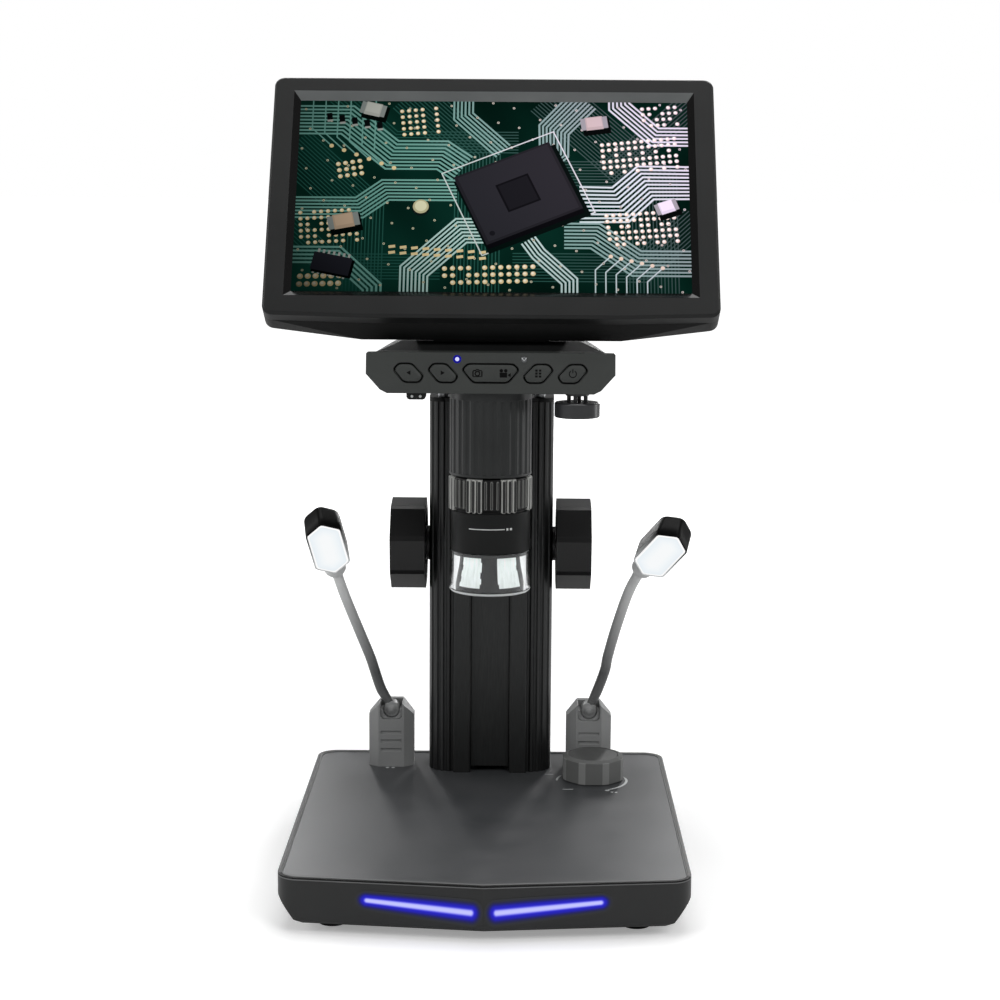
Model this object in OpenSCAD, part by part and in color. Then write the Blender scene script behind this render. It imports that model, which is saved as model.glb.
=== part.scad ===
// Digital microscope with a tilting LCD screen, a rack-and-pinion focus stand and two gooseneck lamps.
// X runs across the stand, Y from the front tip of the base to its back, Z up from the feet.

/* [Base] */
// Width of the base across its straight sides
base_w = 145.8; // [140:0.1:156]
// Depth of the base from its front corners to its back
base_d = 164; // [158:0.5:176]
// How far the shallow V of the front stands out from the front corners
base_bulge = 8; // [5:0.5:12]
// Height of the base without its feet
base_h = 16.2; // [15.6:0.1:19]
// Corner radius of the base in plan
base_r = 8; // [5:0.5:12]
// Wall of the base shell
base_wall = 2.4; // [2:0.1:3]
// Floor of the base shell
base_floor = 2.2; // [1.8:0.1:2.6]
// Width of the rim that shows round the stage plate
base_rim = 1.3; // [1:0.1:1.8]
// Height of that rim above the stage plate
rim_up = 0.4; // [0.2:0.1:0.6]
// Width of the groove between the rim and the plate
rim_groove = 0.5; // [0.3:0.1:0.8]
// Height of the upright band on the sides, above their lower bevel
side_band = 7.1; // [5:0.1:8]
// How far the lower bevel of the sides runs inwards
side_bevel = 6.1; // [5:0.1:7]
// Width and height of the shallow toe below that bevel
side_toe = [3.1, 1.4]; // [1:0.1:4]
// Thickness of the stage plate
plate_t = 1.6; // [1.2:0.1:2]
// Height that the rubber feet stand below the base
foot_h = 3.8; // [2.6:0.1:4.4]
// Diameter of a rubber foot
foot_d = 10; // [8:0.5:12]
// Distance of a foot's centre from the side of the base
foot_in = 18.9; // [15:0.1:24]
// Distance of a foot's centre from the front corners and from the back
foot_end = 12; // [10:0.5:20]

/* [Front light bars] */
// Length of one light bar
bar_len = 38; // [30:0.5:42]
// Height of one light bar
bar_h = 2.8; // [2:0.1:3.6]
// Distance of a light bar's middle from the tip, measured along its facet
bar_mid = 22.7; // [21.5:0.1:26]
// Height of a light bar's middle above the underside of the base
bar_up = 8.2; // [7.6:0.1:9]
// Slope of a light bar, rising outwards
bar_slope = 5.8; // [3:0.1:7]

/* [Column] */
// Width of the column extrusion
col_w = 50.5; // [48:0.5:54]
// Depth of the column extrusion, front flats to back
col_d = 24; // [24:0.5:27]
// Height of the column extrusion
col_h = 153.5; // [150:0.5:170]
// Gap between the back of the column and the back of the base
col_inset = 6; // [4:0.5:8]
// Corner radius at the front of the column
col_r = 9; // [8:0.5:10]
// Radius of the long flutes round the column's corners
flute_r = 0.85; // [0.5:0.05:1]
// How far the lips beside the slot stand out of the front flats
lip_out = 1.4; // [0.8:0.1:2]
// Width of the lips beside the slot
lip_w = 7; // [5:0.1:7]
// Thickness of the cap on top of the column
cap_t = 1.6; // [1.2:0.1:2.4]
// Height of the screw heads on the cap
cap_screw_h = 3; // [2:0.1:3]

/* [Rack and pinion] */
// Width of the rack bar where it shows in the slot
rack_w = 15.4; // [14:0.1:16]
// Width of the rack bar's hidden flange
flange_w = 20; // [19:0.1:21]
// Thickness of the part of the rack bar that shows in the slot
rack_front_t = 2.2; // [1.8:0.1:2.6]
// Thickness of the rack bar's flange
flange_t = 2.5; // [2:0.1:3]
// Gear module, which sets the tooth size
gear_module = 0.8; // [0.7:0.1:0.9]
// Number of teeth on the pinion
pinion_teeth = 12; // [11:1:13]
// Width of the pinion and of the rack's teeth
gear_w = 8; // [6:0.5:9]
// Height of the pinion shaft above the stage
shaft_up = 94; // [90:0.5:100]
// Diameter of the pinion shaft
shaft_d = 4; // [3:0.1:4.4]
// Travel of the head above its rest place
lift_up = 55; // [40:1:60]
// Travel of the head below its rest place
lift_down = 1.5; // [0.5:0.1:2]

/* [Focus knobs] */
// Distance of a focus knob's flats from its axis
knob_flat = 17.6; // [15:0.1:19]
// Half the width of one flat of a focus knob
knob_half = 6.2; // [4.5:0.1:6.6]
// Turn of the focus knobs at rest
knob_turn = 8.1; // [0:0.1:22.5]
// Length of a focus knob along its shaft
knob_len = 14.2; // [12:0.1:18]
// Outer diameter of the bush flanges on the column's sides
bush_flange_d = 14; // [12:0.5:16]
// Thickness of the bush flanges
bush_flange_t = 1.1; // [1:0.1:2]

/* [Head] */
// Gap between the column cap and the head at rest
head_gap = 5.9; // [5.6:0.1:9]
// Width of the control panel
head_w = 95.4; // [94:0.1:104]
// Width of the flat underside of the head
head_bottom_w = 79; // [77:0.1:82]
// Height of the head where its lower bevels end
head_bevel_h = 7.2; // [5:0.1:8]
// Width and height of the shallow toe below those bevels
head_toe = [2.7, 1.3]; // [1:0.1:3]
// Width of the shoulder between the panel's upper corners and the hump
head_shoulder = 3.6; // [2:0.1:5]
// How far the sides of the head step in behind the panel
head_step = 4; // [3:0.1:4.2]
// Height of the control panel, measured square to the ground
panel_h = 15.3; // [14.8:0.1:17]
// Lean of the control panel
panel_lean = 15.35; // [10:0.05:18]
// Thickness of the control panel
panel_t = 2.6; // [2:0.1:3]
// Height of the hump behind the control panel above the panel's top edge
hump_h = 3.3; // [2.5:0.1:3.4]
// Width of the top of the hump
hump_w = 70; // [66:0.5:76]
// Wall of the head shell
head_wall = 2.2; // [1.8:0.1:2.6]
// Distance of the barrel's axis in front of the column
reach = 24; // [22:0.5:30]
// Distance of the control panel's lower edge in front of the barrel's axis
head_front = 18; // [17:0.5:20]
// Distance of the back of the head behind the column's front flats
head_back = 16; // [14:0.5:20]

/* [Keys] */
// Width of a small key over its two points
key_w = 11; // [10:0.1:12]
// Height of a key
key_h = 6.8; // [6:0.1:8]
// Width of the camera and video rocker over its two points
rocker_w = 21.2; // [19:0.1:22]
// Distance of the inner keys from the middle
key_in = 18.2; // [17.8:0.1:19]
// Distance of the outer keys from the middle
key_out = 31.4; // [31:0.1:33]
// Gap round each key
key_gap = 0.45; // [0.2:0.05:0.5]
// Corner radius of the keys
key_r = 0.9; // [0.4:0.1:1.2]
// Height that the keys stand proud of the panel
key_proud = 0.4; // [0.2:0.05:0.8]
// Travel of a key
key_travel = 0.8; // [0.4:0.1:0.9]

/* [Barrel] */
// Diameter of the fluted barrel body
barrel_d = 32.2; // [30:0.1:33]
// Length of the fluted barrel body
barrel_len = 32.9; // [28:0.1:40]
// Number of shallow flutes round the barrel body
barrel_flutes = 28; // [20:1:36]
// Diameter of the focus ring over its ridges
ring_d = 32.8; // [31:0.1:35]
// Length of the focus ring
ring_len = 13.8; // [11:0.1:16]
// Diameter of the smooth lens sleeve
sleeve_d = 31.2; // [30.4:0.1:33]
// Length of the lens sleeve
sleeve_len = 15.8; // [14:0.1:20]
// Diameter of the clear cap
cap_d = 32; // [31:0.1:34]
// Length of the clear cap
cap_len = 16.5; // [14:0.1:20]
// Wall of the clear cap
cap_wall = 1.6; // [1.2:0.1:2]

/* [Screen] */
// Width of the picture
active_w = 154.1; // [150:0.1:156]
// Height of the picture
active_h = 85.9; // [82:0.1:88]
// Border of the bezel beside the picture
border_side = 10.7; // [9:0.05:12]
// Border of the bezel above the picture
border_top = 10.2; // [8:0.1:12]
// Border of the bezel below the picture
border_bottom = 10.6; // [10:0.1:11]
// Width of the lowest, level part of the screen's lower edge
lip_len = 100; // [90:0.5:110]
// How far the face's lower edge falls from its corners to that part
face_fall = 1; // [0.5:0.1:1.4]
// How far the rear shell's lower edge falls
rear_fall = 4.6; // [3:0.1:4.8]
// Thickness of the whole screen
screen_t = 14; // [13:0.1:18]
// Thickness of the bezel
bezel_t = 5.5; // [5:0.1:6]
// Corner radius of the screen
screen_r = 4; // [3:0.5:6]
// Depth of the sloping window edge
window_t = 1.8; // [1.4:0.1:2.2]
// Width of the sloping window edge
window_slope = 2.7; // [2:0.1:3.4]
// Lean of the screen at rest
screen_tilt = 31.1; // [20:0.1:40]
// Distance of the hinge axis behind the back of the screen
hinge_behind = 5.7; // [5.4:0.1:8]
// Distance of the hinge axis below the picture's lower edge
hinge_below = 6.7; // [6.7:0.1:10]
// Height of the hinge axis above the underside of the head
hinge_up = 23; // [23:0.1:27]
// Distance of the hinge axis behind the barrel's axis
hinge_back = 5; // [4:0.5:9]
// Radius of the hinge knuckles
knuckle_r = 4; // [3.4:0.1:4.2]
// Diameter of the hinge pin
pin_d = 3; // [2:0.1:3.6]
// Width of the head's hinge knuckle
knuckle_w = 45; // [40:0.5:50]
// Width of each of the screen's hinge lugs
lug_w = 7; // [5:0.5:10]

/* [Dimmers] */
// Distance of the base dial from the middle
dial_x = 42.4; // [41:0.1:46]
// Distance of the base dial's axis in front of the column
dial_front = 7; // [6.8:0.1:12]
// Distance of the dial's flats from its axis
dial_flat = 12.2; // [10:0.1:12.4]
// Half the width of one flat of the dial
dial_half = 3.45; // [2.8:0.05:3.8]
// Height of the dial
dial_h = 9.8; // [8:0.1:12]
// Distance of the thumb wheel from the middle
wheel_x = 33.4; // [32.5:0.1:34.5]
// Diameter of the thumb wheel
wheel_d = 17.5; // [15:0.1:19]
// Thickness of the thumb wheel
wheel_t = 5.8; // [4:0.1:6]

/* [Lamps] */
// Distance of the lamp plugs from the middle
lamp_x = 41; // [38:0.1:46]
// Distance of the lamp plugs' middle behind the column's front flats
lamp_y = 12; // [12:0.1:14]
// Width of a lamp plug
block_w = 18.6; // [17:0.1:20]
// Depth of a lamp plug
block_d = 12; // [11:0.1:13]
// Height of a lamp plug at its peak
block_h = 27.1; // [26:0.1:29]
// Height of a lamp plug's shoulders
block_shoulder = 22; // [20:0.1:23]
// Radius of a neck
neck_r = 2; // [1.6:0.05:2.2]
// Run of the left lamp's lower neck from its pivot
left_lower = [-8.8, -3.2, 22.8]; // [-20:0.1:40]
// Run of the left lamp's upper neck
left_upper = [-13.6, -5.1, 37]; // [-20:0.1:50]
// Run of the right lamp's lower neck from its pivot
right_lower = [7.6, -3.5, 23.7]; // [-20:0.1:40]
// Run of the right lamp's upper neck
right_upper = [12.6, -5.5, 37.3]; // [-20:0.1:50]
// Length of a lamp head over its two points
lamp_len = 28.2; // [25:0.1:31]
// Width of a lamp head
lamp_w = 14.6; // [13:0.1:17]
// Depth of a lamp head
lamp_t = 12; // [11.4:0.1:14]
// Lean of each lamp's face below the level: left, right
lamp_dip = [32, 32]; // [15:1:40]
// Spin of each lamp head in its own plane: left, right
lamp_spin = [-15.2, 38.3]; // [-45:0.1:45]
// Turn of each lamp head towards the middle: left, right
lamp_turn = [11.2, -16.8]; // [-25:0.1:25]

/* [Hidden] */
$fn = 48;

// Clearances
eps = 0.01;
fit_gap = 0.02;      // fixed round fits
turn_gap = 0.05;     // turning fits
slide_gap = 0.25;    // rack bar in its slot
seat_gap = 0.1;      // plates and inserts in their recesses
part_gap = 0.2;      // between turning and fixed faces
screw_gap = 0.05;    // screws in their holes

// Levels and depths shared by several pieces
tip_y = -(base_d + base_bulge) / 2;
front_y = tip_y + base_bulge;
back_y = -tip_y;
facet_slope = base_bulge / (base_w / 2);
facet_angle = atan(facet_slope);
facet_len = sqrt(1 + facet_slope * facet_slope);
floor_z = foot_h + base_floor;
stage_z = foot_h + base_h;
seat_z = stage_z - plate_t;
col_back_y = back_y - col_inset;
col_front_y = col_back_y - col_d;
col_top = stage_z + col_h;
cap_top = col_top + cap_t;
foot_x = base_w / 2 - foot_in;
foot_ys = [front_y + foot_end, back_y - foot_end];
foot_sink = 0.8;

// Gear
pitch_r = gear_module * pinion_teeth / 2;
pressure = 25;
addendum = gear_module;
dedendum = 1.25 * gear_module;
tip_r = pitch_r + addendum;
root_r = pitch_r - dedendum;
gear_base_r = pitch_r * cos(pressure);
tooth_pitch = PI * gear_module;
backlash = 0.12;

// Rack bar and its slot, front to back
rack_y = col_front_y + 0.8;
flange_y = rack_y + rack_front_t;
tooth_root_y = flange_y + flange_t;
shaft_y = tooth_root_y + dedendum + pitch_r;
shaft_z = stage_z + shaft_up;
shaft_r = shaft_d / 2;
slot_half = rack_w / 2 + slide_gap;
groove_half = flange_w / 2 + slide_gap;
chamber_half = gear_w / 2 + 2;
chamber_back = shaft_y + tip_r + 0.8;
rack_bottom = stage_z + lift_down + 0.8;

// Column section
side_wall = 3;
web_t = 6;
port_r = 1.5;
port_x = col_w / 2 - 5.8;
port_front_y = col_front_y + 4.9;
port_back_y = col_back_y - 3.6;
ports = [for (x = [-port_x, port_x], y = [port_front_y, port_back_y]) [x, y]];
col_back_r = 4;
lip_bevel = 0.7;
flute_angles = [-3, 14.5, 32, 55];

// Focus knobs and bushes, outwards from the column's side
bush_spigot_r = shaft_r + 2;
knob_gap = 0.25;
knob_in = col_w / 2 + bush_flange_t + knob_gap;
knob_out = knob_in + knob_len;
shaft_end = knob_in + knob_len * 0.75;

// Head
head_z = cap_top + head_gap;
barrel_y = col_front_y - reach;
panel_y = barrel_y - head_front;
panel_top_y = panel_y + panel_h * tan(panel_lean);
panel_len = panel_h / cos(panel_lean);
panel_back_y = panel_top_y + panel_t + 0.15;
head_back_y = col_front_y + head_back;
head_top = head_z + panel_h + hump_h;
cover_z = head_z + panel_h - 1.8;
hump_y = barrel_y + 2;
hinge_y = barrel_y + hinge_back;
hinge_z = head_z + hinge_up;
rack_top = head_z + 11;
boss_wall = 3;

// Keys
key_s = panel_len / 2;
flange_over = 0.25;
flange_thick = 0.8;
flange_back = 0.15;
rocker_back = 0.7;
panel_post = [head_bottom_w / 2 - 0.6, panel_len - 4.2];
plunger_tip = -(panel_t + flange_back + flange_thick + key_travel + 0.15);
switch_top = plunger_tip - 0.8;
board_face = switch_top - 3.2;
board_t = 1.6;
board_low = (head_wall + seat_gap + (board_t - board_face) * sin(panel_lean)) / cos(panel_lean);
led_x = 12.8;
led_s = panel_len - 2.5;
led_r = 0.9;

// Barrel, downwards from the head
barrel_r = barrel_d / 2;
neck_ring_z = head_z - barrel_len;
ring_z = neck_ring_z - part_gap - ring_len;
sleeve_top = ring_z - part_gap;
sleeve_z = sleeve_top - sleeve_len;
cap_z = sleeve_z - cap_len + 0.1;
tube_r = barrel_r - 1.6;
tube_in = tube_r - 1.7;
tube_end = sleeve_z + 2.5;
spigot_r = cap_d / 2 - cap_wall - screw_gap;
led_ring_top = sleeve_z - 1.6;
led_ring_r = 11.3;
sleeve_web_r = 10;     // hole in the web that carries the lamp ring
led_board_t = 1.2;
cell_r = 6;

// Dimmers and the small block under the head
dial_y = col_front_y - dial_front;
dial_gap = 0.3;
dimmer_r = 3;
wheel_y = panel_y + 8;
wheel_shaft_r = 2.5;
wheel_drop = 3.7;
block_under_x = -28.4;
block_under = [7.4, 6, 2.5];
cage_r = 3.3;          // posts between the thumb wheel and its flange
wheel_flange_t = 0.9;

// Screen, in its own frame with the hinge axis along X through its origin
back_n = hinge_behind;
split_n = back_n + screen_t - bezel_t;
front_n = back_n + screen_t;
shell_t = screen_t - bezel_t;
picture_s = hinge_below;
housing_w = active_w + 2 * border_side;
housing_low = picture_s - border_bottom;
housing_high = picture_s + active_h + border_top;
edge_in = 1;
back_edge = 1.5;
shell_wall = 2;
lcd_over = 4;
lcd_t = 3;
lug_x = knuckle_w / 2 + part_gap;
pin_half = lug_x + lug_w - 0.5;
screw_in = 4.3;

// Lamps
lamp_cy = col_front_y + lamp_y;
cheek = 4.5;
knuckle_disc_r = 3.3;
knuckle_disc_t = 6;
slot_back = 3;         // wall behind the slot
slot_r = 1.8;
pivot_z = stage_z + block_h - 3.2;
pivot_y = lamp_cy + block_d / 2 - slot_back - part_gap - knuckle_disc_t / 2;
pivot_r = 1.4;
bend_ball_r = neck_r + 0.15;
head_ball_r = neck_r + 0.6;
ball_gap = 0.1;
collar_r = 3.7;
collar_len = 3.2;
collar_over = 0.15;
lamp_lip = 0.5;
lamp_edge = 0.55;
usb_w = 12;
usb_h = 4.5;
usb_in = 9;

// ---------- shared shapes ----------

// Rounded rectangle round the origin
module rounded(w, h, r) {
  square([w - 2 * r, h], center = true);
  square([w, h - 2 * r], center = true);
  for (x = [-1, 1], y = [-1, 1])
    translate([x * (w / 2 - r), y * (h / 2 - r)]) circle(r);
}

// Slot with round ends along X, overall length l
module stadium(l, h) {
  square([l - h, h], center = true);
  for (x = [-1, 1]) translate([x * (l - h) / 2, 0]) circle(h / 2);
}

// A YZ outline extruded along X from x0 to x1
module along_x(x0, x1) translate([x0, 0, 0]) rotate([90, 0, 90]) linear_extrude(x1 - x0) children();

// An XZ outline extruded along Y from y0 to y1
module along_y(y0, y1) translate([0, y1, 0]) rotate([90, 0, 0]) linear_extrude(y1 - y0) children();

// A round bar from point a to point b
module rod(a, b, r) {
  run = b - a;
  span = norm(run);
  translate(a) rotate([0, acos(run[2] / span), atan2(run[1], run[0])]) cylinder(h = span, r = r);
}

// Pan-head screw standing on its head's underside, shank upwards
module screw(head_r, head_h, shank_r, shank_len) {
  translate([0, 0, -head_h]) difference() {
    cylinder(h = head_h, r = head_r);
    translate([0, 0, -eps]) cylinder(h = head_h / 2, r = head_r * 0.45, $fn = 6);
  }
  translate([0, 0, -eps]) cylinder(h = shank_len, r = shank_r);
}

// Eight flats with a narrow facet between each two
function eight_flats(flat, half, turn) = [
  for (k = [0:7], side = [-1, 1])
    let (a = turn + 45 * k + side * atan(half / flat), r = sqrt(flat * flat + half * half))
    [r * cos(a), r * sin(a)]
];

// Elongated hexagon with its points on the Y axis
function long_hexagon(w, l, g) =
  let (h = w / 2 - g, p = l / 2 - g * 1.2, q = p - h * 0.66)
  [[0, p], [-h, q], [-h, -q], [0, -p], [h, -q], [h, q]];

// ---------- base ----------

// Plan of the base, set in by g all round
module base_plan(g) {
  r = base_r - g;
  cx = base_w / 2 - base_r;
  cy = tip_y + cx * facet_slope + base_r * facet_len;
  by = back_y - base_r;
  tx = cx + r * facet_slope / facet_len;
  ty = cy - r / facet_len;
  polygon([
    [0, tip_y + g * facet_len], [tx, ty], [cx + r, cy], [cx + r, by], [cx, by + r],
    [-cx, by + r], [-cx - r, by], [-cx - r, cy], [-tx, ty]
  ]);
  for (x = [-cx, cx], y = [cy, by]) translate([x, y]) circle(r);
}

// Frame on one facet of the front: x along the facet from the tip, y inwards, z up
module on_facet(side) mirror([side < 0 ? 1 : 0, 0, 0])
  translate([0, tip_y, 0]) rotate([0, 0, facet_angle]) children();

module light_bar(grow, y0, y1)
  translate([bar_mid, 0, foot_h + bar_up]) rotate([0, -bar_slope, 0])
    along_y(y0, y1) stadium(bar_len + 2 * grow, bar_h + 2 * grow);

// Triangle that bevels the lower edge of a side
module bevel_section(out, down, inward, z, toe = [0, 0]) polygon([
  [out + 1, z], [out, z], [out - inward, z - down], [out - inward - toe[0], z - down - toe[1]],
  [out - inward - toe[0], z - down - toe[1] - 1], [out + 1, z - down - toe[1] - 1]
]);

module base_shell() color("#2b2c2c") difference() {
  bevel_z = stage_z - side_band;
  post_top = seat_z;
  union() {
    difference() {
      translate([0, 0, foot_h]) linear_extrude(base_h + rim_up) base_plan(0);
      // the beds of the plate and of the hollow below it
      translate([0, 0, seat_z]) linear_extrude(plate_t + 1) base_plan(base_rim);
      translate([0, 0, bevel_z]) linear_extrude(base_h) base_plan(base_wall);
      intersection() {
        translate([0, 0, floor_z]) linear_extrude(base_h) base_plan(base_wall);
        translate([side_bevel - base_w / 2 + base_wall, tip_y, 0])
          cube([base_w - 2 * (side_bevel + base_wall), base_d + base_bulge, stage_z]);
      }
    }
    // posts under the column and at the four corners, and studs under the board
    for (p = ports) translate([p[0], p[1], floor_z - eps]) cylinder(h = post_top - floor_z + eps, r = 3.8);
    for (p = corner_posts()) translate([p[0], p[1], floor_z - eps]) cylinder(h = post_top - floor_z + eps, r = 3.2);
    for (p = board_studs()) translate([p[0], p[1], floor_z - eps]) cylinder(h = 0.6 + eps, r = 2);
  }
  for (side = [0, 1]) mirror([side, 0, 0])
    along_y(tip_y - 1, back_y + 1)
      bevel_section(base_w / 2, bevel_z - foot_h - side_toe[1], side_bevel, bevel_z, side_toe);
  for (side = [-1, 1]) on_facet(side) {
    light_bar(seat_gap, -1, base_wall + 2);
    along_x(-2, base_w) mirror([1, 0]) bevel_section(0, 1.2, 1.2, foot_h + 1.2);
  }
  along_x(-base_w, base_w) bevel_section(back_y, 2, 2, foot_h + 2);
  for (x = [-foot_x, foot_x], y = foot_ys)
    translate([x, y, foot_h - 1]) cylinder(h = 1 + foot_sink, r = foot_d / 2 + screw_gap);
  for (p = concat(ports, corner_posts())) translate([p[0], p[1], foot_h - 1]) {
    cylinder(h = base_h + 1, r = 1.45 + screw_gap);
    cylinder(h = 1 + base_floor, r = 2.9);
  }
  along_y(back_y - base_wall - 2, back_y + 1) translate([0, board_top() + 1.6]) stadium(9.2, 3.4);
}

function corner_posts() = [for (x = [-base_w / 2 + 16, base_w / 2 - 16], y = [front_y + 26, back_y - 26]) [x, y]];
function board_front() = dial_y - 12;
function board_studs() = [for (x = [-40, -14, 14, 40]) [x, board_front() + 3]];
function board_top() = floor_z + 0.6 + board_t;

module stage_plate() color("#3c3e3f") difference() {
  translate([0, 0, seat_z]) linear_extrude(plate_t) base_plan(base_rim + rim_groove);
  for (p = ports) translate([p[0], p[1], seat_z - 1]) cylinder(h = plate_t + 2, r = 1.45 + screw_gap);
  for (x = [-lamp_x, lamp_x]) translate([x, lamp_cy, seat_z - 1])
    linear_extrude(plate_t + 2) square([usb_w + 0.4, usb_h + 0.4], center = true);
  translate([dial_x, dial_y, seat_z - 1]) cylinder(h = plate_t + 2, r = dimmer_r + 0.5);
}

module base_feet() color("#151515")
  for (x = [-foot_x, foot_x], y = foot_ys) translate([x, y, 0]) {
    cylinder(h = foot_h + foot_sink, r = foot_d / 2);
  }

module base_screws() color("#8a8c8e") {
  for (p = ports) translate([p[0], p[1], floor_z]) screw(2.7, 1.8, 1.45, base_h + 10);
  for (p = corner_posts()) translate([p[0], p[1], floor_z]) screw(2.7, 1.8, 1.45, seat_z - floor_z);
}

module light_bars() color("#2b22ff") for (side = [-1, 1]) on_facet(side) light_bar(0, -0.1, 3);

module light_bar_boards() color("#1c5a2e") for (side = [-1, 1]) on_facet(side) {
  translate([bar_mid, 0, foot_h + bar_up]) rotate([0, -bar_slope, 0]) {
    translate([-bar_len / 2 + 1, 3.6, -2.6]) cube([bar_len - 2, 1, 5.2]);
    for (k = [-3:3]) translate([k * bar_len / 8 - 0.8, 3.02, -0.8]) cube([1.6, 0.58 + eps, 1.6]);
  }
}

module base_board() color("#1c5a2e") {
  side = lamp_x + 8;
  translate([0, 0, floor_z + 0.6]) linear_extrude(board_t) {
    translate([-side, board_front()]) square([2 * side, col_front_y - board_front()]);
    for (x = [-lamp_x, lamp_x]) translate([x - 8, col_front_y - 1]) square([16, lamp_y + 6]);
    translate([-6, col_front_y - 1]) square([12, back_y - base_wall - 1 - col_front_y]);
  }
}

module dimmer_pot() color("#3a3c40") difference() {
  translate([dial_x, dial_y, board_top()]) cylinder(h = seat_z - board_top(), r = 8);
  translate([dial_x, dial_y, board_top() + 2]) cylinder(h = base_h, r = dimmer_r + turn_gap);
}

module usb_sockets() color("#c9ccd0") for (x = [-lamp_x, lamp_x]) translate([x, lamp_cy, board_top()])
  difference() {
    linear_extrude(seat_z - board_top()) square([usb_w + 2.4, usb_h + 2.4], center = true);
    translate([0, 0, seat_z - board_top() - usb_in]) linear_extrude(base_h)
      square([usb_w + 0.3, usb_h + 0.3], center = true);
  }

module power_socket() color("#c9ccd0") translate([0, 0, board_top() + 1.6])
  difference() {
    along_y(back_y - 8, back_y) stadium(9, 3.2);
    along_y(back_y - 6.5, back_y + 1) difference() {
      stadium(8.3, 2.5);
      square([6.2, 0.7], center = true);
    }
  }

// ---------- column ----------

module column_outline() {
  half = col_w / 2;
  for (x = [-1, 1]) {
    translate([x * (half - col_r), col_front_y + col_r]) circle(col_r);
    translate([x * (half - col_back_r), col_back_y - col_back_r]) circle(col_back_r);
  }
  translate([-half + col_r, col_front_y]) square([col_w - 2 * col_r, col_d - 1]);
  translate([-half, col_front_y + col_r]) square([col_w, col_d - col_r - col_back_r]);
  translate([-half + col_back_r, col_front_y + col_r]) square([col_w - 2 * col_back_r, col_d - col_r]);
}

// Fluted extrusion with a T groove for the rack bar and a chamber for the pinion
module column_section() difference() {
  union() {
    column_outline();
    for (x = [-1, 1]) translate([0, col_front_y]) polygon([
      [x * slot_half, 1], [x * slot_half, -lip_out + lip_bevel], [x * (slot_half + lip_bevel), -lip_out],
      [x * (slot_half + lip_w - 0.3), -lip_out], [x * (slot_half + lip_w), -lip_out + 0.3], [x * (slot_half + lip_w), 1]
    ]);
  }
  translate([-slot_half, col_front_y - lip_out - 1]) square([2 * slot_half, flange_y - col_front_y + lip_out + 1]);
  translate([-groove_half, flange_y - slide_gap]) square([2 * groove_half, flange_t + 2 * slide_gap]);
  translate([-chamber_half, flange_y]) square([2 * chamber_half, chamber_back - flange_y]);
  for (x = [-1, 1]) mirror([x > 0 ? 0 : 1, 0]) {
    // hollow between the web and the side wall
    translate([chamber_half + web_t, port_front_y + 3.4])
      square([col_w / 2 - side_wall - chamber_half - web_t, port_back_y - port_front_y - 6.8]);
    for (a = flute_angles)
      translate([col_w / 2 - col_r + col_r * sin(a), col_front_y + col_r - col_r * cos(a)]) circle(flute_r, $fn = 24);
    for (y = [col_back_y - 9, col_back_y - 5.5]) translate([col_w / 2, y]) circle(flute_r, $fn = 24);
    for (s = [4, 9]) translate([s, col_back_y]) circle(flute_r, $fn = 24);
  }
  for (p = ports) translate(p) circle(port_r);
}

module column() color("#1c1d1e") difference() {
  translate([0, 0, stage_z]) linear_extrude(col_h) column_section();
  translate([0, shaft_y, shaft_z]) rotate([0, 90, 0]) {
    cylinder(h = col_w - 2 * side_wall, r = shaft_r + 0.3, center = true);
    for (x = [-1, 1]) translate([0, 0, x * col_w / 2]) cylinder(h = 2 * side_wall + 2, r = bush_spigot_r + fit_gap, center = true);
  }
}

module column_cap() color("#232425") translate([0, 0, col_top]) difference() {
  linear_extrude(cap_t) difference() {
    union() {
      column_outline();
      for (x = [-port_x - 1.6, port_x + 1.6]) translate([x, port_front_y - 1.2]) circle(4);
    }
    translate([-slot_half, col_front_y - 5]) square([2 * slot_half, flange_y - col_front_y + 6]);
    translate([-groove_half, flange_y - slide_gap]) square([2 * groove_half, flange_t + 2 * slide_gap]);
    translate([-gear_w / 2 - 0.4, flange_y]) square([gear_w + 0.8, flange_t + dedendum + addendum + 1]);
  }
  for (p = ports) translate([p[0], p[1], -1]) cylinder(h = cap_t + 2, r = port_r);
}

module cap_screws() color("#8a8c8e") for (p = ports)
  translate([p[0], p[1], cap_top]) mirror([0, 0, 1]) screw(2.4, cap_screw_h, 1.45, 12);

module shaft_bushes() color("#141414") for (x = [0, 1]) mirror([x, 0, 0])
  translate([col_w / 2, shaft_y, shaft_z]) rotate([0, 90, 0]) difference() {
    union() {
      translate([0, 0, -side_wall]) cylinder(h = side_wall + eps, r = bush_spigot_r);
      cylinder(h = bush_flange_t, r = bush_flange_d / 2);
    }
    cylinder(h = 4 * side_wall, r = shaft_r + turn_gap, center = true);
  }

// ---------- drive ----------

// Angle between an involute's start and its point at radius r, in degrees
function involute_angle(r) = let (a = acos(gear_base_r / r)) tan(a) * 180 / PI - a;

// Half the angle that a tooth covers at radius r
function half_tooth(r) =
  90 / pinion_teeth - backlash / 2 / pitch_r * 180 / PI + involute_angle(pitch_r) - involute_angle(r);

function polar(r, a) = [r * cos(a), r * sin(a)];

function pinion_outline() = let (
  steps = 4,
  start_r = max(gear_base_r, root_r) + eps,
  radii = [for (i = [0:steps]) start_r + (tip_r - start_r) * i / steps]
) [
  for (k = [0:pinion_teeth - 1]) let (c = 180 + (k + 0.5) * 360 / pinion_teeth)
    each concat(
      [polar(root_r, c - half_tooth(start_r))],
      [for (i = [0:steps]) polar(radii[i], c - half_tooth(radii[i]))],
      [for (i = [steps:-1:0]) polar(radii[i], c + half_tooth(radii[i]))],
      [polar(root_r, c + half_tooth(start_r))]
    )
];

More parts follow.
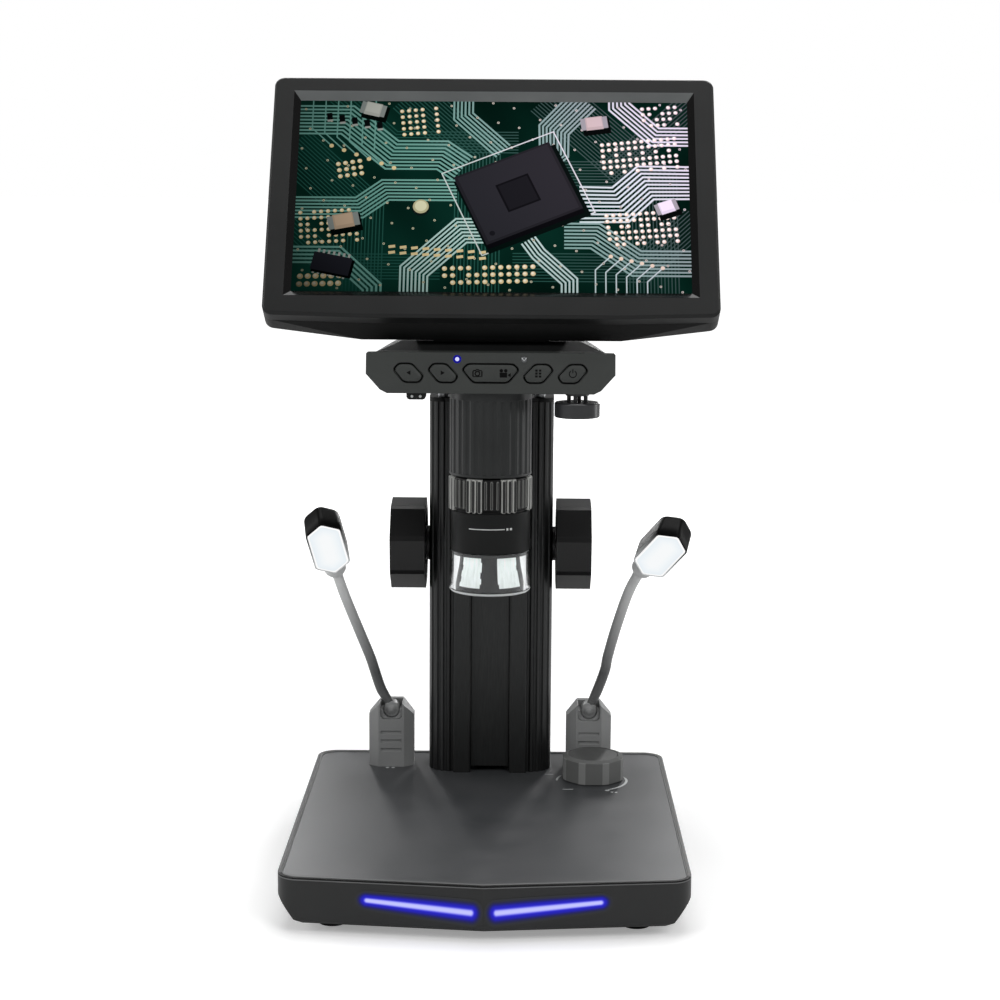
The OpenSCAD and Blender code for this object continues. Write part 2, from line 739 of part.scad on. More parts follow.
module drive_pinion() color("#b08d4a") translate([0, shaft_y, shaft_z]) difference() {
  along_x(-gear_w / 2, gear_w / 2) polygon(pinion_outline());
  rotate([0, 90, 0]) cylinder(h = gear_w + 2, r = shaft_r + fit_gap, center = true);
}

module focus_shaft() color("#b9bcc0") translate([0, shaft_y, shaft_z])
  rotate([0, 90, 0]) cylinder(h = 2 * shaft_end, r = shaft_r, center = true);

module focus_knob() translate([0, shaft_y, shaft_z]) difference() {
  along_x(knob_in, knob_out) polygon(eight_flats(knob_flat, knob_half, knob_turn));
  rotate([0, 90, 0]) {
    translate([0, 0, knob_in - 1]) cylinder(h = shaft_end - knob_in + 1 + part_gap, r = shaft_r + fit_gap);
    // dished outer face with a raised hub
    translate([0, 0, knob_out - 1.2]) difference() {
      cylinder(h = 2, r = knob_flat - 3.6);
      cylinder(h = 2, r = 6);
    }
    // relief of the inner face round the hub
    translate([0, 0, knob_in - 1]) difference() {
      cylinder(h = 1 + 5, r = knob_flat - 3);
      cylinder(h = 1 + 5, r = bush_flange_d / 2);
    }
  }
}

module focus_knob_right() color("#242526") focus_knob();
module focus_knob_left() color("#242526") mirror([1, 0, 0]) focus_knob();

// ---------- rack bar ----------

module rack_teeth() {
  low = floor((-lift_up - 8) / tooth_pitch);
  high = ceil((lift_down + 6) / tooth_pitch);
  tip_half = tooth_pitch / 4 - addendum * tan(pressure);
  root_half = tooth_pitch / 4 + dedendum * tan(pressure);
  tip_y = tooth_root_y + dedendum + addendum;
  along_x(-gear_w / 2, gear_w / 2) polygon(concat(
    [[tooth_root_y - 0.5, shaft_z + (low - 0.5) * tooth_pitch]],
    [for (i = [low:high]) let (z = shaft_z + i * tooth_pitch) each [
      [tooth_root_y, z - root_half], [tip_y, z - tip_half], [tip_y, z + tip_half], [tooth_root_y, z + root_half]
    ]],
    [[tooth_root_y - 0.5, shaft_z + (high + 0.5) * tooth_pitch]]
  ));
}

module rack_bar() color("#303234") {
  translate([0, 0, rack_bottom]) linear_extrude(rack_top - rack_bottom) {
    translate([-rack_w / 2, rack_y]) square([rack_w, rack_front_t + eps]);
    translate([-flange_w / 2, flange_y]) square([flange_w, flange_t]);
  }
  rack_teeth();
}

// ---------- head ----------

// Frame on the control panel: x across, y up the panel, z out of it
module on_panel() translate([0, panel_y, head_z]) rotate([90 - panel_lean, 0, 0]) children();

// Outer form of the head, set in by g
module head_form(g) intersection() {
  along_x(-head_w, head_w) polygon([
    [panel_y + g, head_z + g], [panel_top_y + g, head_z + panel_h - g * 0.6], [hump_y, head_top - g],
    [head_back_y - 8, head_top - g], [head_back_y - g, head_z + panel_h - 4], [head_back_y - g, head_z + g]
  ]);
  along_y(panel_y - 1, head_back_y + 1) polygon([for (side = [1, -1], p = head_half(side, g)) p]);
  // in plan the body steps in behind the panel and narrows towards the column
  translate([0, 0, head_z - 1]) linear_extrude(head_top - head_z + 2) for (x = [-1, 1]) polygon([
    [0, panel_y - 1], [x * (head_w / 2 - g), panel_y - 1], [x * (head_w / 2 - g), panel_back_y],
    [x * (head_w / 2 - head_step - g), panel_back_y + 1.5], [x * (head_w / 2 - 2 * head_step - g), barrel_y + 14],
    [x * (col_w / 2 + 6 - g), head_back_y], [0, head_back_y]
  ]);
}

// Half of the head's front outline: bottom to top on the right, top to bottom on the left
function head_half(side, g) = let (
  up = [
    [head_bottom_w / 2 - g * 0.2, head_z + g], [head_bottom_w / 2 + head_toe[0] - g * 0.6, head_z + head_toe[1] + g * 0.8],
    [head_w / 2 - g, head_z + head_bevel_h + g * 0.4], [head_w / 2 - g, head_z + panel_h - 0.5 - g],
    [head_w / 2 - 0.5 - g, head_z + panel_h - g], [head_w / 2 - head_shoulder - g * 0.5, head_z + panel_h - g],
    [hump_w / 2 - g * 0.5, head_top - g]
  ]
) side > 0 ? up : [for (i = [6:-1:0]) [-up[i][0], up[i][1]]];

// Everything in front of the plane that lies depth behind the panel's face
module panel_slab(depth) on_panel() translate([-head_w, -panel_len, -depth]) cube([2 * head_w, 4 * panel_len, depth + 30]);

module above(z) translate([-head_w, panel_y - 30, z]) cube([2 * head_w, 200, 60]);

module head_shell() color("#3a3c3b") difference() {
  union() {
    difference() {
      head_form(0);
      panel_slab(panel_t);
      above(cover_z);
      head_form(head_wall);
    }
    // socket of the rack bar
    translate([0, 0, head_z + eps]) linear_extrude(rack_top - head_z) rack_socket(boss_wall);
  }
  translate([0, 0, head_z - 1]) linear_extrude(rack_top - head_z + 2) rack_socket(screw_gap);
  translate([0, barrel_y, head_z - 1]) cylinder(h = head_wall + 2, r = tube_in + screw_gap);
  translate([wheel_x, wheel_y, head_z - 1]) cylinder(h = head_wall + 2, r = wheel_shaft_r + turn_gap);
  for (p = head_screw_places()) translate([p[0], p[1], head_z - 1]) cylinder(h = head_wall + 2, r = 1 + screw_gap);
  panel_slab(panel_t);
}

module rack_socket(grow) {
  translate([-rack_w / 2 - grow, rack_y - grow]) square([rack_w + 2 * grow, rack_front_t + 2 * grow]);
  translate([-flange_w / 2 - grow, flange_y - min(grow, 0.1)]) square([flange_w + 2 * grow, flange_t + min(grow, 0.1) + grow]);
}

function head_screw_places() = [for (x = [-33, 33], y = [barrel_y + 8, barrel_y + 22]) [x, y]];

module head_cover() color("#3a3c3b") difference() {
  union() {
    difference() {
      intersection() {
        head_form(0);
        above(cover_z);
      }
      panel_slab(panel_t);
      head_form(head_wall);
    }
    // hinge knuckle on its foot
    translate([0, hinge_y, 0]) {
      translate([0, 0, hinge_z]) rotate([0, 90, 0]) cylinder(h = knuckle_w, r = knuckle_r, center = true);
      translate([-knuckle_w / 2, -knuckle_r, head_top - head_wall]) cube([knuckle_w, 2 * knuckle_r, hinge_z - head_top + head_wall]);
    }
  }
  translate([0, hinge_y, hinge_z]) rotate([0, 90, 0]) cylinder(h = 3 * knuckle_w, r = pin_d / 2 + turn_gap, center = true);
}

function unit(v) = v / norm(v);

// Points of the arc that rounds corner b between a and c
function round_corner(a, b, c, r, n) = let (
  u = unit(a - b), w = unit(c - b), half = acos(u * w) / 2,
  o = b + unit(u + w) * r / sin(half), s = b + u * r / tan(half) - o, e = b + w * r / tan(half) - o,
  from = atan2(s[1], s[0]), turn = (atan2(e[1], e[0]) - from + 900) % 360 - 180
) [for (i = [0:n]) o + r * [cos(from + turn * i / n), sin(from + turn * i / n)]];
function round_all(p, r, n = 4) = let (k = len(p))
  [for (i = [0:k - 1]) each round_corner(p[(i + k - 1) % k], p[i], p[(i + 1) % k], r, n)];

// Outline of a small key: points at the left and right, leaning one way
function small_key(grow) = let (w = key_w / 2 + grow, h = key_h / 2 + grow) [
  [-w, h * 0.36], [-w * 0.68, h], [w * 0.22, h], [w, -h * 0.33], [w * 0.74, -h], [-w * 0.29, -h]
];
function rocker_key(grow) = let (w = rocker_w / 2 + grow, h = key_h / 2 + grow) [
  [-w, h * 0.4], [-w * 0.82, h], [w * 0.82, h], [w, h * 0.4], [w * 0.62, -h], [-w * 0.62, -h]
];
key_places = [[-key_out, 1], [-key_in, 1], [key_in, -1], [key_out, -1]];

module small_key_outline(place, grow) translate([place[0], key_s]) mirror([place[1] < 0 ? 1 : 0, 0]) polygon(round_all(small_key(grow), key_r + grow));
module rocker_outline(grow) translate([0, key_s]) polygon(round_all(rocker_key(grow), key_r + grow));

module control_panel() color("#3e403f") difference() {
  union() {
    intersection() {
      head_form(0);
      panel_slab(panel_t);
    }
    on_panel() for (x = [-panel_post[0], panel_post[0]])
      translate([x, panel_post[1], board_face]) cylinder(h = -board_face - 1, r = 1.6);
  }
  on_panel() {
    translate([0, 0, -panel_t - 1]) linear_extrude(panel_t + 2) {
      for (p = key_places) small_key_outline(p, key_gap);
      rocker_outline(key_gap);
      for (x = [-led_x, led_x]) translate([x, led_s]) circle(led_r + screw_gap);
    }
  }
}

module small_key_body(place) color("#3e403f") on_panel() {
  translate([0, 0, -panel_t - flange_back - eps]) linear_extrude(panel_t + flange_back + key_proud + eps)
    small_key_outline(place, 0);
  translate([0, 0, -panel_t - flange_back - flange_thick]) linear_extrude(flange_thick)
    small_key_outline(place, key_gap + flange_over);
}
module key_previous() small_key_body(key_places[0]);
module key_next() small_key_body(key_places[1]);
module key_menu() small_key_body(key_places[2]);
module key_power() small_key_body(key_places[3]);

module key_capture() color("#3e403f") on_panel() {
  translate([0, 0, -panel_t - rocker_back - eps]) linear_extrude(panel_t + rocker_back + key_proud + eps) rocker_outline(0);
  translate([0, 0, -panel_t - rocker_back - flange_thick]) linear_extrude(flange_thick)
    rocker_outline(key_gap + flange_over * 0.8);
}

module main_board() color("#1c5a2e") on_panel() translate([0, 0, board_face - board_t]) linear_extrude(board_t) {
  low = head_bottom_w / 2 - 2.6;
  high = panel_post[0] + 1.4;
  polygon([
    [-low, board_low], [low, board_low], [high, board_low + 4.6],
    [high, panel_len - 2.4], [-high, panel_len - 2.4], [-high, board_low + 4.6]
  ]);
}

module key_switches() color("#8c8f92") on_panel()
  for (x = [-key_out, -key_in, -5.5, 5.5, key_in, key_out]) translate([x, key_s, 0]) {
    translate([-2.6, -2.6, board_face]) cube([5.2, 5.2, switch_top - board_face]);
    translate([0, 0, switch_top - eps]) cylinder(h = plunger_tip - switch_top, r = 1.5);
  }

module indicator_lenses() color("#9db4ff") on_panel() for (x = [-led_x, led_x])
  translate([x, led_s, -panel_t]) cylinder(h = panel_t + 0.15, r = led_r);

module head_screws() color("#8a8c8e") for (p = head_screw_places())
  translate([p[0], p[1], head_z]) screw(1.9, 1.2, 1, head_wall + 1);

module port_block() color("#1a1b1b") difference() {
  translate([block_under_x, wheel_y - 4, 0]) along_y(-block_under[1] / 2, block_under[1] / 2)
    polygon([for (x = [-1, 1]) each let (w = block_under[0] / 2, a = head_z - block_under[2]) x < 0
      ? [[-w, head_z], [-w, a + 1], [-w + 0.4, a + 0.3], [-w + 1.1, a]]
      : [[w - 1.1, a], [w - 0.4, a + 0.3], [w, a + 1], [w, head_z]]]);
  for (x = [-1.6, 1.6]) translate([block_under_x + x, wheel_y - 4 - block_under[1] / 2, head_z - block_under[2] / 2])
    rotate([90, 0, 0]) cylinder(h = 1, r = 0.6, center = true);
}

module thumb_wheel() color("#1f2021") translate([wheel_x, wheel_y, head_z - wheel_drop - wheel_t]) {
  difference() {
    union() {
      translate([0, 0, 0.4]) cylinder(h = wheel_t - 0.8, r = wheel_d / 2);
      cylinder(h = 0.4 + eps, r1 = wheel_d / 2 - 0.4, r2 = wheel_d / 2);
      translate([0, 0, wheel_t - 0.4 - eps]) cylinder(h = 0.4 + eps, r1 = wheel_d / 2, r2 = wheel_d / 2 - 0.4);
    }
    translate([0, 0, -eps]) cylinder(h = 0.8, r = wheel_d / 2 - 2.4);
  }
  // cage of posts, flange and shaft
  for (a = [76, 166, 256, 346]) rotate([0, 0, a]) translate([cage_r, 0, wheel_t - eps])
    cylinder(h = wheel_drop - part_gap - wheel_flange_t + 2 * eps, r = 0.8, $fn = 24);
  translate([0, 0, wheel_t + wheel_drop - part_gap - wheel_flange_t]) cylinder(h = wheel_flange_t, r = cage_r + 1.2);
  translate([0, 0, wheel_t + wheel_drop - part_gap - eps]) cylinder(h = part_gap + head_wall - 0.1, r = wheel_shaft_r);
}

// ---------- barrel ----------

module on_barrel(z) translate([0, barrel_y, z]) children();

module barrel_tube() color("#232526") on_barrel(0) difference() {
  union() {
    translate([0, 0, neck_ring_z]) cylinder(h = head_z - neck_ring_z, r = barrel_r);
    translate([0, 0, tube_end]) cylinder(h = neck_ring_z - tube_end + eps, r = tube_r);
    translate([0, 0, head_z - eps]) cylinder(h = head_wall - 0.2, r = tube_in);
  }
  translate([0, 0, tube_end - 1]) cylinder(h = head_z - tube_end - 3, r = tube_in);
  translate([0, 0, tube_end - 1]) cylinder(h = head_z - tube_end + 6, r = tube_in - 3);
  for (k = [0:barrel_flutes - 1]) rotate([0, 0, (k + 0.5) * 360 / barrel_flutes])
    translate([barrel_r + 1.4, 0, neck_ring_z + 1]) cylinder(h = barrel_len - 4.2, r = 1.85, $fn = 32);
}

module image_sensor() color("#1c5a2e") on_barrel(head_z - 8) {
  cylinder(h = 1.2, r = tube_in - 0.05);
  translate([-3.6, -3.6, -1.1]) cube([7.2, 7.2, 1.1 + eps]);
}

module lens_cell() color("#2b2d2e") on_barrel(0) difference() {
  union() {
    translate([0, 0, led_ring_top - led_board_t]) cylinder(h = 16, r = cell_r);
    translate([0, 0, tube_end + 1]) cylinder(h = 3, r = tube_in - 0.05);
  }
  translate([0, 0, led_ring_top - led_board_t - 1]) cylinder(h = 4.4, r = cell_r - 1.3);
  cylinder(h = 2 * head_z, r = cell_r - 2.4);
}

module objective_lens() color("#20324a") on_barrel(led_ring_top - led_board_t + 1.2) {
  r = cell_r - 1.3 - fit_gap;
  bulge = 14;
  translate([0, 0, 0.6]) cylinder(h = 1.6, r = r);
  intersection() {
    cylinder(h = 1.4, r = r);
    translate([0, 0, bulge - 0.2]) sphere(bulge);
  }
}

module led_ring() color("#f2f2ee") on_barrel(led_ring_top - led_board_t) {
  difference() {
    cylinder(h = led_board_t, r = led_ring_r);
    translate([0, 0, -1]) cylinder(h = led_board_t + 2, r = cell_r + 0.3);
  }
  for (a = [0:45:315]) rotate([0, 0, a]) translate([cell_r + 1.6, -1.4, -0.7]) cube([2.8, 2.8, 0.7 + eps]);
}

module lens_sleeve() color("#1e1f20") on_barrel(0) difference() {
  union() {
    translate([0, 0, sleeve_z]) cylinder(h = sleeve_len, r = sleeve_d / 2);
    translate([0, 0, led_ring_top]) cylinder(h = sleeve_z - led_ring_top + eps, r = spigot_r);
  }
  translate([0, 0, tube_end]) cylinder(h = sleeve_len + 1, r = tube_r + fit_gap);
  translate([0, 0, led_ring_top - 1]) cylinder(h = sleeve_len + 1, r = sleeve_web_r);
}

module clear_cap() color("#dfe6ea", 0.4) on_barrel(cap_z) difference() {
  union() {
    translate([0, 0, 0.8]) cylinder(h = sleeve_z - cap_z - 0.9, r = cap_d / 2);
    cylinder(h = 0.8 + eps, r1 = cap_d / 2 - 0.6, r2 = cap_d / 2);
  }
  translate([0, 0, -1]) cylinder(h = cap_len + 2, r = cap_d / 2 - cap_wall);
}

module focus_ring() color("#262829") on_barrel(ring_z) difference() {
  groups = 7;
  step = 360 / groups / 6;
  union() {
    cylinder(h = ring_len, r = ring_d / 2 - 0.9);
    // three long ridges and three short ones in each group
    for (long = [true, false]) translate([0, 0, long ? 0.5 : 1.7]) linear_extrude(ring_len - (long ? 1 : 3.4))
      for (k = [0:groups - 1], i = [0:2]) rotate((k * 6 + (long ? i - 1 : i + 2)) * step - 90 + step * 3)
        translate([ring_d / 2 - 0.9, 0]) circle(0.9, $fn = 24);
  }
  translate([0, 0, -1]) cylinder(h = ring_len + 2, r = tube_r + turn_gap);
}

// ---------- base dimmer ----------

module dimmer_knob() color("#3a3b3c") translate([dial_x, dial_y, stage_z + dial_gap]) difference() {
  union() {
    linear_extrude(dial_h - 0.8) polygon(eight_flats(dial_flat, dial_half, 0));
    hull() {
      translate([0, 0, dial_h - 0.81]) linear_extrude(0.01) polygon(eight_flats(dial_flat, dial_half, 0));
      translate([0, 0, dial_h - 0.01]) linear_extrude(0.01) polygon(eight_flats(dial_flat - 0.8, dial_half - 0.3, 0));
    }
  }
  translate([0, 0, -1]) cylinder(h = dial_h - 1.2, r = dimmer_r + fit_gap);
}

module dimmer_shaft() color("#b9bcc0") translate([dial_x, dial_y, board_top() + 2.2])
  cylinder(h = stage_z + dial_gap + dial_h - 2.4 - board_top() - 2.2, r = dimmer_r);

// ---------- screen ----------

// Frame of the screen: x across, y up its plane, z out of its face, hinge axis through the origin
module on_screen() translate([0, hinge_y, hinge_z]) rotate([90 - screen_tilt, 0, 0]) children();

// Outline of the screen, set in by g, with its lower edge falling towards the middle
module screen_outline(g, fall) {
  half = housing_w / 2;
  r = screen_r;
  for (x = [-1, 1], y = [housing_low + r, housing_high - r]) translate([x * (half - r), y]) circle(r - g);
  polygon([
    [-half + g, housing_low + r], [-half + g, housing_high - r], [-half + r, housing_high - g],
    [half - r, housing_high - g], [half - g, housing_high - r], [half - g, housing_low + r],
    [half - r, housing_low + g], [lip_len / 2, housing_low - fall + g], [-lip_len / 2, housing_low - fall + g],
    [-half + r, housing_low + g]
  ]);
}

module picture_frame(grow_w, grow_low, grow_high) translate([-active_w / 2 - grow_w, picture_s - grow_low])
  square([active_w + 2 * grow_w, active_h + grow_low + grow_high]);

module screen_bezel() color("#303131") on_screen() difference() {
  union() {
    translate([0, 0, split_n]) linear_extrude(bezel_t - edge_in) screen_outline(0, face_fall);
    hull() {
      translate([0, 0, front_n - edge_in - eps]) linear_extrude(eps) screen_outline(0, face_fall, $fn = 32);
      translate([0, 0, front_n - eps]) linear_extrude(eps) screen_outline(edge_in, face_fall, $fn = 32);
    }
  }
  hull() {
    translate([0, 0, front_n - window_t]) linear_extrude(eps) picture_frame(0, 0, 0);
    translate([0, 0, front_n + eps]) linear_extrude(eps) picture_frame(window_slope, window_slope, window_slope + 0.9);
  }
  translate([0, 0, split_n - 1]) linear_extrude(bezel_t - window_t + 1) picture_frame(lcd_over, lcd_over, lcd_over);
  for (p = screen_screw_places()) translate([p[0], p[1], split_n - 1]) cylinder(h = 1 + 3, r = 1.2 + screw_gap);
}

function screen_screw_places() = [
  for (x = [-housing_w / 2 + screw_in, housing_w / 2 - screw_in], y = [housing_low + 6, housing_high - 5]) [x, y]
];

module lcd_panel() color("#0f3d33") on_screen() translate([0, 0, front_n - window_t - lcd_t])
  linear_extrude(lcd_t) picture_frame(lcd_over - 0.3, lcd_over - 0.3, lcd_over - 0.3);

module screen_board() color("#1c5a2e") on_screen() translate([0, 0, front_n - window_t - lcd_t - board_t - 0.1])
  linear_extrude(board_t) translate([-40, picture_s + 12]) square([80, 50]);

module screen_rear_shell() color("#2a2b2b") on_screen() difference() {
  mid = (housing_low + housing_high) / 2;
  union() {
    difference() {
      union() {
        hull() {
          translate([0, 0, split_n - eps]) linear_extrude(eps) screen_outline(0, face_fall, $fn = 32);
          translate([0, 0, back_n + back_edge]) linear_extrude(eps) screen_outline(0, rear_fall, $fn = 32);
        }
        hull() {
          translate([0, 0, back_n + back_edge]) linear_extrude(eps) screen_outline(0, rear_fall, $fn = 32);
          translate([0, 0, back_n]) linear_extrude(eps) screen_outline(back_edge, rear_fall, $fn = 32);
        }
      }
      translate([0, mid, back_n + shell_wall]) linear_extrude(screen_t)
        rounded(housing_w - 2 * shell_wall - 1, housing_high - housing_low - 2 * shell_wall - 1, 3);
    }
    // screw posts and the posts that carry the display
    for (p = screen_screw_places()) translate([p[0], p[1], back_n + 1]) cylinder(h = shell_t - 1, r = 3.4);
    for (x = [-active_w / 2 + 4, active_w / 2 - 4], y = [picture_s + 4, picture_s + active_h - 4])
      translate([x, y, back_n + 1]) cylinder(h = front_n - window_t - lcd_t - back_n - 1, r = 2.4);
    // hinge lugs
    for (side = [0, 1]) mirror([side, 0, 0]) {
      translate([lug_x, 0, 0]) rotate([0, 90, 0]) cylinder(h = lug_w, r = knuckle_r);
      translate([lug_x, -knuckle_r, 0]) cube([lug_w, 2 * knuckle_r, back_n + 1]);
    }
  }
  rotate([0, 90, 0]) cylinder(h = 2 * pin_half, r = pin_d / 2 + fit_gap, center = true);
  for (p = screen_screw_places()) translate([p[0], p[1], back_n - 1]) {
    cylinder(h = screen_t, r = 1.2 + screw_gap);
    cylinder(h = 3, r = 2.4);
  }
  // two rows of ventilation slots
  for (row = [0, 1], k = [-7:7]) translate([k * 5.2, housing_high - 18 - row * 9, back_n - 1])
    linear_extrude(shell_wall + 2) rotate(90) stadium(6.4, 1.8);
}

module hinge_pin() color("#b9bcc0") on_screen() rotate([0, 90, 0])
  cylinder(h = 2 * pin_half, r = pin_d / 2, center = true);

module screen_screws() color("#8a8c8e") on_screen() for (p = screen_screw_places())
  translate([p[0], p[1], back_n + 2]) screw(2.3, 1.4, 1.2, shell_t + 0.8);

// ---------- lamps ----------

function pivot(i) = [(i == 0 ? -1 : 1) * lamp_x, pivot_y, pivot_z];
function lower(i) = i == 0 ? left_lower : right_lower;
function upper(i) = i == 0 ? left_upper : right_upper;
function bend(i) = pivot(i) + lower(i);
function nape(i) = bend(i) + upper(i);

module plug_block(i) color("#48494a") translate([pivot(i)[0], lamp_cy, 0]) difference() {
  front = 5.3;
  slot_low = pivot_z - knuckle_disc_r - 0.4;
  intersection() {
    translate([0, 0, stage_z]) linear_extrude(block_h) polygon([for (a = [0:3])
      let (x = (a < 2 ? 1 : -1), y = (a == 0 || a == 3 ? -1 : 1))
      each (x * y < 0 ? [[x * front, y * block_d / 2], [x * block_w / 2, y * (block_d / 2 - 2.8)]]
        : [[x * block_w / 2, y * (block_d / 2 - 2.8)], [x * front, y * block_d / 2]])]);
    along_y(-block_d, block_d) polygon([
      [-block_w / 2, stage_z], [block_w / 2, stage_z], [block_w / 2, stage_z + block_shoulder],
      [4.6, stage_z + block_h], [-4.6, stage_z + block_h], [-block_w / 2, stage_z + block_shoulder]
    ]);
  }
  // slot for the neck's knuckle, rounded at the bottom, open to the front and top
  along_y(-block_d, block_d / 2 - slot_back) {
    translate([-cheek, slot_low + slot_r]) square([2 * cheek, block_h]);
    translate([-cheek + slot_r, slot_low]) square([2 * (cheek - slot_r), block_h]);
    for (x = [-1, 1]) translate([x * (cheek - slot_r), slot_low + slot_r]) circle(slot_r);
  }
  translate([0, block_d / 2 - slot_back - 1, pivot_z]) rotate([-90, 0, 0])
    cylinder(h = 1 + slot_back - 0.8, r = pivot_r + turn_gap);
  for (k = [0:2]) translate([-4.2, -block_d / 2 - 1, stage_z + 6.6 + k * 3.7]) cube([8.4, 1.5, 1.3]);
}
module plug_block_left() plug_block(0);
module plug_block_right() plug_block(1);

module lamp_plugs() color("#c9ccd0") for (i = [0, 1]) translate([pivot(i)[0], lamp_cy, stage_z - usb_in + 0.5])
  linear_extrude(usb_in - 0.5) square([usb_w, usb_h], center = true);

module neck_lower(i) color("#6b6c6d") {
  rod(pivot(i), bend(i), neck_r);
  translate(bend(i)) sphere(bend_ball_r);
  // knuckle, its pin into the back of the slot and its hub
  translate(pivot(i)) rotate([-90, 0, 0]) {
    cylinder(h = knuckle_disc_t, r = knuckle_disc_r, center = true);
    cylinder(h = knuckle_disc_t / 2 + part_gap + slot_back - 1, r = pivot_r);
    translate([0, 0, -knuckle_disc_t / 2 - 0.4]) cylinder(h = 1, r = pivot_r + 0.3);
  }
}
module neck_lower_left() neck_lower(0);
module neck_lower_right() neck_lower(1);

module neck_upper(i) color("#6b6c6d") {
  difference() {
    rod(bend(i), nape(i), neck_r);
    translate(bend(i)) sphere(bend_ball_r + ball_gap);
  }
  translate(nape(i)) sphere(head_ball_r);
}
module neck_upper_left() neck_upper(0);
module neck_upper_right() neck_upper(1);

// Frame of a lamp head: z out of its back, long axis along y, neck end at y = 0
module on_lamp(i) translate(nape(i)) rotate([0, 0, lamp_turn[i]]) rotate([lamp_dip[i] - 90, 0, 0])
  rotate([0, 0, lamp_spin[i]]) translate([0, -collar_len - lamp_len / 2, -lamp_t / 2]) children();

module lamp_head(i) color("#151617") difference() {
  on_lamp(i) difference() {
    union() {
      hull() {
        linear_extrude(lamp_t - 2) polygon(long_hexagon(lamp_w, lamp_len, 0));
        translate([0, 0, lamp_t - 0.01]) linear_extrude(0.01) polygon(long_hexagon(lamp_w, lamp_len, 2));
      }
      translate([0, lamp_len / 2 - 2.5, lamp_t / 2]) rotate([-90, 0, 0])
        cylinder(h = collar_len + 2.5 + collar_over, r = collar_r);
    }
    translate([0, 0, -1]) linear_extrude(1 + 3) polygon(long_hexagon(lamp_w, lamp_len, lamp_edge));
  }
  translate(nape(i)) sphere(head_ball_r + ball_gap);
}
module lamp_head_left() lamp_head(0);
module lamp_head_right() lamp_head(1);

module lamp_lens(i) color("#fbfbf7") on_lamp(i) translate([0, 0, lamp_lip])
  linear_extrude(3 - lamp_lip) polygon(long_hexagon(lamp_w, lamp_len, lamp_edge + 0.1));
module lamp_lens_left() lamp_lens(0);
module lamp_lens_right() lamp_lens(1);

base_shell();
stage_plate();
base_feet();
base_screws();
light_bars();
light_bar_boards();
base_board();
dimmer_pot();
usb_sockets();
power_socket();
column();
column_cap();
cap_screws();
shaft_bushes();
plug_block_left();
plug_block_right();
lamp_plugs();
focus_shaft();
drive_pinion();
focus_knob_left();
focus_knob_right();
rack_bar();
head_shell();
head_cover();
control_panel();
head_screws();
main_board();
key_switches();
indicator_lenses();
port_block();
barrel_tube();
image_sensor();
lens_cell();
objective_lens();
led_ring();
lens_sleeve();
clear_cap();
focus_ring();
thumb_wheel();
dimmer_knob();
dimmer_shaft();
key_previous();
key_next();
key_capture();
key_menu();
key_power();
screen_bezel();
screen_rear_shell();
lcd_panel();
screen_board();
hinge_pin();
screen_screws();
neck_lower_left();
neck_upper_left();
lamp_head_left();
lamp_lens_left();
neck_lower_right();
neck_upper_right();
lamp_head_right();
lamp_lens_right();
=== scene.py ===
import math

import bmesh
import bpy
import numpy as np
from mathutils import Matrix, Vector


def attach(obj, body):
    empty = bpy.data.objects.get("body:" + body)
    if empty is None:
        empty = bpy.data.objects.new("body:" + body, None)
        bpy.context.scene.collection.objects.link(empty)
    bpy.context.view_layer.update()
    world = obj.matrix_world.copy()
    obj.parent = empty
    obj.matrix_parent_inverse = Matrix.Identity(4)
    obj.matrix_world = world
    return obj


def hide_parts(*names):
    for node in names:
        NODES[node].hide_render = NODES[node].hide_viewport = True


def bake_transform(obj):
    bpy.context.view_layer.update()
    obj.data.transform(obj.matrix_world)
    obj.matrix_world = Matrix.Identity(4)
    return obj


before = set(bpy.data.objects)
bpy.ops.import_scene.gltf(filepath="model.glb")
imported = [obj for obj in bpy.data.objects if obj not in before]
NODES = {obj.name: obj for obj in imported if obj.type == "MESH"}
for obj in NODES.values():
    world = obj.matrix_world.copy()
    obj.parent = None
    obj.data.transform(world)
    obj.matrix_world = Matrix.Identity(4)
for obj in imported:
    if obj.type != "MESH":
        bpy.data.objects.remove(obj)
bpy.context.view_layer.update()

MM = 0.001
scene = bpy.context.scene


# ---------- colour and shader nodes ----------

def ink(code):
    """An sRGB hex colour as linear RGBA: below 0.04045 divided by 12.92, above it ((c + 0.055) / 1.055) to the 2.4."""
    c = np.array([int(code[i:i + 2], 16) for i in (1, 3, 5)]) / 255
    c = np.where(c <= 0.04045, c / 12.92, ((c + 0.055) / 1.055) ** 2.4)
    return (*c.tolist(), 1.0)


def inks(*codes):
    """Several inks as the rows of an array."""
    return np.array([ink(code) for code in codes])


def node(tree, kind, sockets=None, **settings):
    """Adds one shader node: settings are its properties, sockets its input values or the outputs that feed them."""
    made = tree.nodes.new("ShaderNode" + kind)
    for name, value in settings.items():
        setattr(made, name, value)
    for name, value in (sockets or {}).items():
        if isinstance(value, bpy.types.NodeSocket):
            tree.links.new(value, made.inputs[name])
        else:
            made.inputs[name].default_value = value
    return made


def blank(name):
    """A new material, its node tree and Object coordinates in metres."""
    material = bpy.data.materials.new(name)
    material.use_nodes = True
    tree = material.node_tree
    tree.nodes.clear()
    return material, tree, node(tree, "TexCoord").outputs["Object"]


def surfaced(material, kind, sockets):
    """Gives a material its surface shader and its output, and hands it back."""
    shader = node(material.node_tree, kind, sockets)
    node(material.node_tree, "OutputMaterial", {"Surface": shader.outputs[0]})
    return material


